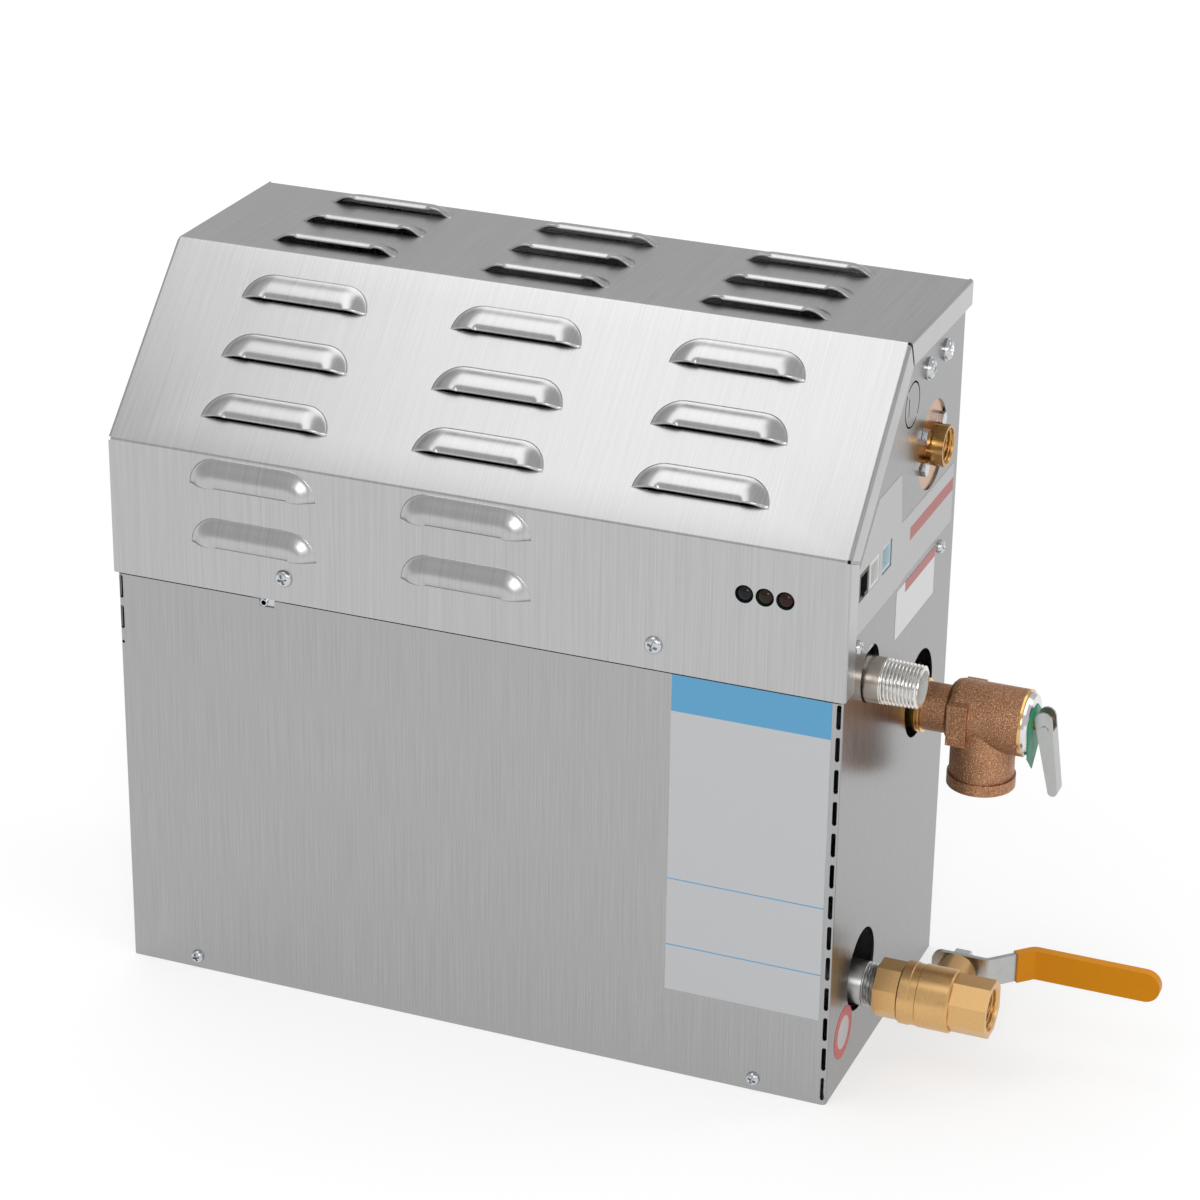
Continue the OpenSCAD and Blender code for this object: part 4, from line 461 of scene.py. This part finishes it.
paint(cloudy("white_moulding", (0.80, 0.80, 0.78), 300.0, metallic=0.0, rough=(0.3, 0.4), spread=0.03),
      "white_port")
paint(cloudy("pale_blue_moulding", (0.62, 0.78, 0.82), 300.0, metallic=0.0, rough=(0.3, 0.4), spread=0.03),
      "blue_port")

# The transformer's core is a stack of dark varnished plates, and its winding is taped. The plates are drawn as
# a fine wave across the core, 9000 radians to the metre.
CORE_HALF_D = 0.014
core = Finish("varnished_plates", (0.06, 0.06, 0.065), metallic=0.6, roughness=0.45)
beyond = core.wire.maths("ABSOLUTE", core.along("Y")) > CORE_HALF_D
plates = core.wire.maths("SINE", core.along("Y") * 9000.0) * 0.5 + 0.5
core.set(Base_Color=beyond.mixed(plates.mixed((0.04, 0.04, 0.045), (0.10, 0.10, 0.105)), (0.55, 0.40, 0.12)))
core.set(Metallic=0.6 - beyond * 0.6)
paint(core, "transformer")


# The fill valve is cast and turned brass. Its flange shows through the side's upper hole, dulled to copper,
# and its boss has the inner thread of the water inlet.
PITCH = 0.001814
NEAR = 0.00005
INLET = (0.0363, 0.2998)
MOUTH_X = 0.19745
MOUTH_R = 0.0088
BOSS_R = 0.01035
BORE_X = 0.18645
BORE_R = 0.0076


def threads(start, end, radius, depth, taper=1 / 32, around=72, per_turn=12):
    """Radius R - taper s - depth w^1.2 f along s from the start.

    w = 1 - |2 frac(s / pitch - a / 2 pi) - 1| is the groove's wave at the angle a, and f fades it in over the
    first turn.
    """
    s = np.linspace(0, end - start, int(abs(end - start) / PITCH * per_turn))[:, None]
    a = np.linspace(0, 2 * math.pi, around, endpoint=False)[None, :]
    wave = 1 - abs(2 * ((s / PITCH - a / (2 * math.pi)) % 1) - 1)
    r = radius - taper * s - depth * wave ** 1.2 * np.clip(s / PITCH, 0, 1)
    return np.stack([r * np.cos(a), r * np.sin(a), start + s + 0 * a], -1)


def away(points, y, z):
    """Distance of points from a line that runs along x."""
    return np.hypot(points[:, 1] - y, points[:, 2] - z)


def about_x(axis, *strips, around=(False, True), inwards=False):
    """Points and quads of turned strips, one after the other, whose height runs along x at (y, z)."""
    points, quads = grid(np.concatenate(strips), closed=around, inwards=inwards)
    return framed((0, *axis), (0, 1, 0), (0, 0, 1), (1, 0, 0))(points), quads


brass = cloudy("satin_brass", (0.69, 0.43, 0.185), 700.0, rough=(0.26, 0.42), spread=0.14, dent=0.00008)
turned_brass = cloudy("turned_brass", (0.78, 0.47, 0.16), 300.0, rough=(0.16, 0.26), spread=0.06)
inlet_metal = Finish("brass_and_dulled_flange", (0.7, 0.5, 0.3), metallic=1.0, roughness=0.28)
outside = inlet_metal.along("X") > SIDE - 0.0008
grain = inlet_metal.noise(inlet_metal.place(), 350.0, detail=3.0)
inlet_metal.set(Base_Color=outside.mixed(grain.mixed((0.42, 0.23, 0.14), (0.66, 0.42, 0.28)),
                                         grain.mixed((0.40, 0.205, 0.06), (0.55, 0.31, 0.10))))
inlet_metal.set(Roughness=grain * 0.16 + 0.18)
casting = copied("fill_valve_body", lambda p: (
    ((abs(away(p, *INLET) - BORE_R) < NEAR) & (p[:, 0] > BORE_X - NEAR))
    | ((p[:, 0] > MOUTH_X - NEAR) & (away(p, *INLET) < BOSS_R + 0.00015))))
bore = about_x(INLET, turned([(BORE_R, BORE_X)], 72),
               threads(BORE_X, MOUTH_X - 0.0008, BORE_R, -0.0008, taper=-1 / 40),
               turned([(MOUTH_R, MOUTH_X), (BOSS_R, MOUTH_X)], 72), inwards=True)
inlet = place_all("inlet_valve", [casting, bore], inlet_metal, sharp=32)
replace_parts(inlet, "fill_valve_body")

# The steam outlet is a bent stainless pipe from the tank's top with a tapered thread cut on its end. The cut
# thread is brighter than the drawn wall.
STEAM = (-0.046, 0.2113)
STEAM_THREAD = 0.19615
STEAM_END = 0.21495
STEAM_R = 0.0111
STEAM_BORE_R = 0.008
pipe_steel = cloudy("drawn_stainless", (0.47, 0.445, 0.415), 120.0, rough=(0.22, 0.36), spread=0.16)
# The bore past the side is painted near white and less metallic: a painted highlight inside the pipe's mouth.
bore_highlight = ((pipe_steel.distance((0.0, *STEAM), scale=(0.0, 1.0, 1.0)) < 0.0086)
           * (pipe_steel.along("X") > SIDE))
wall_colour = pipe_steel.noise(pipe_steel.place(), 120.0).mixed((0.52, 0.46, 0.40), (0.68, 0.62, 0.55))
pipe_steel.set(Base_Color=bore_highlight.mixed(wall_colour, (0.88, 0.87, 0.85)), Metallic=1.0 - bore_highlight * 0.6)
steam = copied("steam_pipe", lambda p: (p[:, 0] > STEAM_THREAD - NEAR)
               & ((away(p, *STEAM) > STEAM_BORE_R + 0.0002) | (p[:, 0] > STEAM_END - NEAR)))
outlet = place_all("steam_outlet_pipe", [steam], pipe_steel, sharp=32)
cut_thread = cloudy("cut_thread", (0.74, 0.73, 0.71), 400.0, rough=(0.16, 0.26), spread=0.06)
cut = about_x(STEAM, threads(STEAM_THREAD, STEAM_END - 0.0005, STEAM_R, 0.00125),
              turned([(0.0096, STEAM_END), (STEAM_BORE_R, STEAM_END)], 72))
place_all("steam_outlet_thread", [cut], cut_thread, sharp=50)
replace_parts(outlet, "steam_pipe")

# The safety valve is cast bronze with a tumbled skin, its sparkle painted into the colour as bright specks, on
# a collar of golden brass with two raised rings. A polished cap is rolled into its end, over a thin brass ring.
RELIEF = (0.038, 0.1611)
CAP_X = 0.24475
CAP_R = 0.01695
COLLAR_X = 0.19017
bronze = Finish("tumbled_bronze", (0.5, 0.28, 0.18), metallic=1.0, roughness=0.42)
glint_specks = bronze.noise(bronze.place(), 1500.0, detail=2.0, roughness=0.7)
drift = bronze.noise(bronze.place(), 90.0, detail=2.0)
# Bright specks in the colour are painted glints off the tumbled skin; the drift is the bronze's own tone.
shade = bronze.wire.maths("POWER", glint_specks * 1.4, 5.0) + drift * 0.2
bronze.set(Base_Color=shade.mixed((0.22, 0.090, 0.040), (0.92, 0.54, 0.32)), Roughness=glint_specks * 0.2 + 0.30)
bronze.bump(glint_specks, 0.75, 0.0005)
paint(bronze, "relief_body")
paint(turned_brass, "relief_bushing", "relief_disc")
paint(cloudy("polished_plate", (0.72, 0.72, 0.72), 60.0, rough=(0.14, 0.20), spread=0.03), "relief_cap",
      "drain_valve_ball")
paint(cloudy("green_tag", (0.006, 0.30, 0.15), 260.0, metallic=0.0, rough=(0.35, 0.5)), "relief_tag")
dull_zinc = cloudy("dull_zinc", (0.48, 0.49, 0.48), 240.0, rough=(0.26, 0.42), spread=0.14, dent=0.00004)
paint(dull_zinc, "relief_lever", "relief_pin")
cap_ring = turned([(0.0150, CAP_X - 0.0008), (CAP_R, CAP_X - 0.0008), (CAP_R, CAP_X + 0.0003),
                   (0.0156, CAP_X + 0.0003)], 96)
place_all("cap_ring", [about_x(RELIEF, cap_ring)], turned_brass, sharp=35)
rings = [(0.0122, 0.0), (0.0131, 0.0), (0.0137, 0.0004), (0.0137, 0.0011), (0.0129, 0.0015), (0.0129, 0.0018),
         (0.0137, 0.0022), (0.0137, 0.0029), (0.0131, 0.0033), (0.0122, 0.0034)]
collar_rings = turned([(r, COLLAR_X + h) for r, h in rings], 96)
place_all("collar_rings", [about_x(RELIEF, collar_rings, around=(True, True))], turned_brass,
          sharp=35)

# The drain pipe is zinc plated, with a few turns of its thread in sight before the valve. It is drawn whole,
# from the tank to its end inside the valve.
DRAIN = (-0.035, 0.0415)
TANK_END = 0.1185
THREAD_START = 0.1909
THREAD_END = 0.2005
PIPE_END = 0.20805
PIPE_R = 0.0111
PIPE_BORE_R = 0.008
PIPE_TIP_R = 0.0102
plated = about_x(DRAIN, turned([(PIPE_BORE_R, TANK_END), (PIPE_R, TANK_END)], 72),
                 threads(THREAD_START, THREAD_END, PIPE_R, 0.0011, taper=1 / 64),
                 turned([(PIPE_TIP_R, 0.2015), (PIPE_TIP_R, PIPE_END), (PIPE_BORE_R, PIPE_END),
                         (PIPE_BORE_R, TANK_END)], 72))
drain_pipe = place_all("drain_pipe_thread", [plated],
                       cloudy("plated_pipe", (0.46, 0.46, 0.45), 160.0, rough=(0.24, 0.42), spread=0.18),
                       sharp=50)
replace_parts(drain_pipe, "drain_pipe")

# The ball valve is forged brass with a tumbled skin. Its end piece is an octagon, bored and threaded for the
# pipe that carries the water off.
VALVE_END = 0.25535
OUTLET_R = 0.0095
OUTLET_X = 0.24135
FLATS = 0.027
AROUND = 80
paint(brass, "drain_valve_body", "packing_nut", "drain_valve_stem", "board_standoffs")
paint(cloudy("white_seat", (0.82, 0.82, 0.79), 200.0, metallic=0.0, rough=(0.4, 0.5), spread=0.03),
      "drain_valve_seats")
octagon = copied("drain_valve_end", lambda p: (
    ((abs(away(p, *DRAIN) - OUTLET_R) < NEAR) & (p[:, 0] > OUTLET_X - NEAR)) | (p[:, 0] > VALVE_END - NEAR)))
a = np.linspace(0, 2 * math.pi, AROUND, endpoint=False)
reach = FLATS / 2 / np.cos((a + math.pi / 8) % (math.pi / 4) - math.pi / 8)
rim = np.stack([reach * np.cos(a), reach * np.sin(a), np.full(AROUND, VALVE_END)], -1)[None]
mouth = about_x(DRAIN, turned([(OUTLET_R, OUTLET_X)], AROUND),
                threads(OUTLET_X, VALVE_END - 0.0008, OUTLET_R, -0.0009, taper=-1 / 50, around=AROUND),
                turned([(0.0109, VALVE_END)], AROUND), rim, inwards=True)
valve_end = place_all("drain_valve_mouth", [octagon, mouth], brass, sharp=32)
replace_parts(valve_end, "drain_valve_end")

# The valve's lever is bent from zinc plated steel and dipped in yellow vinyl; a hexagon nut of bright zinc
# holds it on the stem.
paint(dull_zinc, "drain_lever")
paint(bright, "lever_nut")
vinyl = cloudy("yellow_vinyl", (0.74, 0.275, 0.0), 140.0, metallic=0.0, rough=(0.24, 0.34), spread=0.04)
paint(vinyl.set(Specular_IOR_Level=0.2), "lever_sleeve")

# The plate on the front and the plates on the side are bare printed foil: a white one with a blue band, a
# silver one that runs round the sockets with a red band, a small white one and a round one.
FOIL = 0.00012
BLUE = (0.13, 0.42, 0.70)
RED = (0.50, 0.16, 0.15)
WHITE = (0.64, 0.65, 0.67)
SILVER = (0.60, 0.60, 0.605)
SMALL_WHITE = (0.86, 0.87, 0.88)
FRONT_PLATE = [(0.10465, 0.0465), (0.18365, 0.0465), (0.18365, 0.2148), (0.10465, 0.2148)]
BLUE_BANDS = [(0.1960, 0.22), (0.1068, 0.1074), (0.0708, 0.0714)]
SIDE_PLATE = [(-0.0705, 0.2425), (-0.006, 0.2425), (0.0, 0.2435), (0.0788, 0.2435), (0.0788, 0.2745),
              (-0.006, 0.2745), (-0.0097, 0.3010), (-0.0440, 0.3010), (-0.0705, 0.2760)]
PORTS_Y = (-0.062, -0.0465, -0.0275)
SMALL_PLATE = [(-0.0085, 0.2148), (0.0536, 0.2148), (0.0530, 0.2400), (-0.0085, 0.2400)]
ROUND_AT = (-0.062, 0.028)
ROUND_R = 0.0135
DISC_R = 0.0085


def foil(name, outline, holes, put, finish):
    """A flat plate 0.12 mm thick, cut to an outline with holes, both given as (across, up) in metres."""
    loops = [np.array(loop, float) for loop in (outline, *holes)]
    flat = np.concatenate(loops)
    count = len(flat)
    faces = tessellate_polygon([[Vector((*p, 0)) for p in loop] for loop in loops])
    top = np.column_stack([flat, np.full(count, FOIL)])
    low = np.column_stack([flat, np.zeros(count)])
    sides, base = [], 0
    for loop in loops:
        n = len(loop)
        sides += [(base + i, base + (i + 1) % n, count + base + (i + 1) % n, count + base + i)
                  for i in range(n)]
        base += n
    tops = [tuple(count + i for i in face) for face in faces]
    made = place_all(name, [(put(np.concatenate([low, top])), sides + tops + [f[::-1] for f in faces])], finish,
                     sharp=20)
    work = bmesh.new()
    work.from_mesh(made.data)
    bmesh.ops.recalc_face_normals(work, faces=work.faces)
    work.to_mesh(made.data)
    work.free()
    return made


def port_window(y):
    """Window round a socket's hole, 14 mm square."""
    return [(y - 0.0071, 0.2589), (y + 0.0071, 0.2589), (y + 0.0071, 0.2731), (y - 0.0071, 0.2731)]


on_front = framed((0, FRONT, 0), (1, 0, 0), (0, 0, 1), TO_FRONT)
on_side = framed((SIDE, 0, 0), (0, 1, 0), (0, 0, 1), TO_RIGHT)
white_foil = Finish("white_foil_with_blue", WHITE, roughness=0.4)
height = white_foil.along("Z")
ink = WHITE
for low, high in BLUE_BANDS:
    ink = ((height > low) * (height < high)).mixed(ink, BLUE)
white_foil.set(Base_Color=ink, Roughness=white_foil.noise(white_foil.place(), 80.0) * 0.1 + 0.35)
foil("front_plate", FRONT_PLATE, [], on_front, white_foil)
silver = Finish("silver_foil", SILVER, metallic=0.12, roughness=0.45)
red_band = (silver.along("Z") > 0.2600) * (silver.along("Z") < 0.2668) * (silver.along("Y") > 0.0085)
silver.set(Base_Color=red_band.mixed(SILVER, RED))
foil("side_plate", SIDE_PLATE, [port_window(y) for y in PORTS_Y], on_side, silver)
small = Finish("white_foil_with_red", SMALL_WHITE, roughness=0.4)
header = (small.along("Z") > 0.2345) * (small.along("Y") > 0.005)
small.set(Base_Color=header.mixed(SMALL_WHITE, RED))
foil("small_plate", SMALL_PLATE, [], on_side, small)
round_foil = Finish("round_foil", (0.75, 0.75, 0.75), roughness=0.4)
in_ring = round_foil.distance((SIDE, *ROUND_AT)) > DISC_R
round_foil.set(Base_Color=in_ring.mixed((0.62, 0.62, 0.62), (0.62, 0.09, 0.08)))
a = np.linspace(0, 2 * math.pi, 48, endpoint=False)
foil("round_plate", np.column_stack([ROUND_AT[0] + ROUND_R * np.cos(a), ROUND_AT[1] + ROUND_R * np.sin(a)]), [],
     on_side, round_foil)

# A plain pale floor carries the cabinet. It shows as white, in metal and glass too, except for painted shade
# that dims it near the cabinet, and it keeps the cabinet's shadow.
HALF = 6.0
floor = bpy.data.objects.new("floor", bpy.data.meshes.new("floor"))
floor.data.from_pydata([(-HALF, -HALF, 0), (HALF, -HALF, 0), (HALF, HALF, 0), (-HALF, HALF, 0)], [],
                       [(0, 1, 2, 3)])
pale = Finish("pale_floor", (0.48, 0.48, 0.48), roughness=0.9, Emission_Strength=0.80, Specular_IOR_Level=0.0)
path = pale.wire.node("ShaderNodeLightPath")
seen = [Wire(pale.wire.tree, path.outputs[kind])
        for kind in ("Is Camera Ray", "Is Glossy Ray", "Is Transmission Ray")]
shown = pale.wire.maths("MINIMUM", seen[0] + seen[1] + seen[2], 1.0)
from_middle = pale.wire.made("ShaderNodeVectorMath", "Value", {"operation": "LENGTH"}, i0=pale.place())
# The floor's emission is 0.72 within 0.83 m of the middle and rises to 1 at 2.5 m: painted shade round the
# cabinet.
far = pale.wire.maths("MAXIMUM", pale.wire.maths("MINIMUM", from_middle * 0.6 - 0.5, 1.0), 0.0)
white_with_painted_shade = far.mixed((0.72, 0.72, 0.72), (1.0, 1.0, 1.0))
pale.set(Emission_Color=shown.mixed((0.0, 0.0, 0.0), white_with_painted_shade))
floor.data.materials.append(pale.material)
bpy.context.scene.collection.objects.link(floor)


# A long soft box hangs over the cabinet and shines back from the slope. A key stands in front on the right,
# and two weak lamps lift the right side. The world is one plain level of white.
def lamp(name, at, aim, size, watts):
    """A soft rectangular lamp that points at a place."""
    light = bpy.data.lights.new(name, "AREA")
    light.shape = "RECTANGLE"
    light.size, light.size_y = size
    light.energy = watts
    holder = bpy.data.objects.new(name, light)
    at = Vector(at)
    turn = (at - Vector(aim)).to_track_quat("Z", "Y").to_matrix()
    holder.matrix_world = Matrix.Translation(at) @ turn.to_4x4()
    bpy.context.scene.collection.objects.link(holder)


lamp("soft_box", (-0.58, 0.05, 2.2), (-0.58, 0.05, 0), (1.15, 3.0), 15.5)
lamp("key", (1.2, -2.8, 1.6), (0, 0, 0.2), (1.2, 1.0), 22)
lamp("fill", (2.6, -1.2, 1.4), (0, 0, 0.2), (1.2, 1.2), 8)
lamp("rear", (1.9, 1.5, 1.7), (0.5, 0.5, 0), (1.0, 1.0), 5)

world = bpy.data.worlds.new("world")
world.use_nodes = True
bpy.context.scene.world = world
sky = next(n for n in world.node_tree.nodes if n.type == "BACKGROUND")
sky.inputs["Color"].default_value = (1.0, 1.0, 1.0, 1.0)
sky.inputs["Strength"].default_value = 0.60
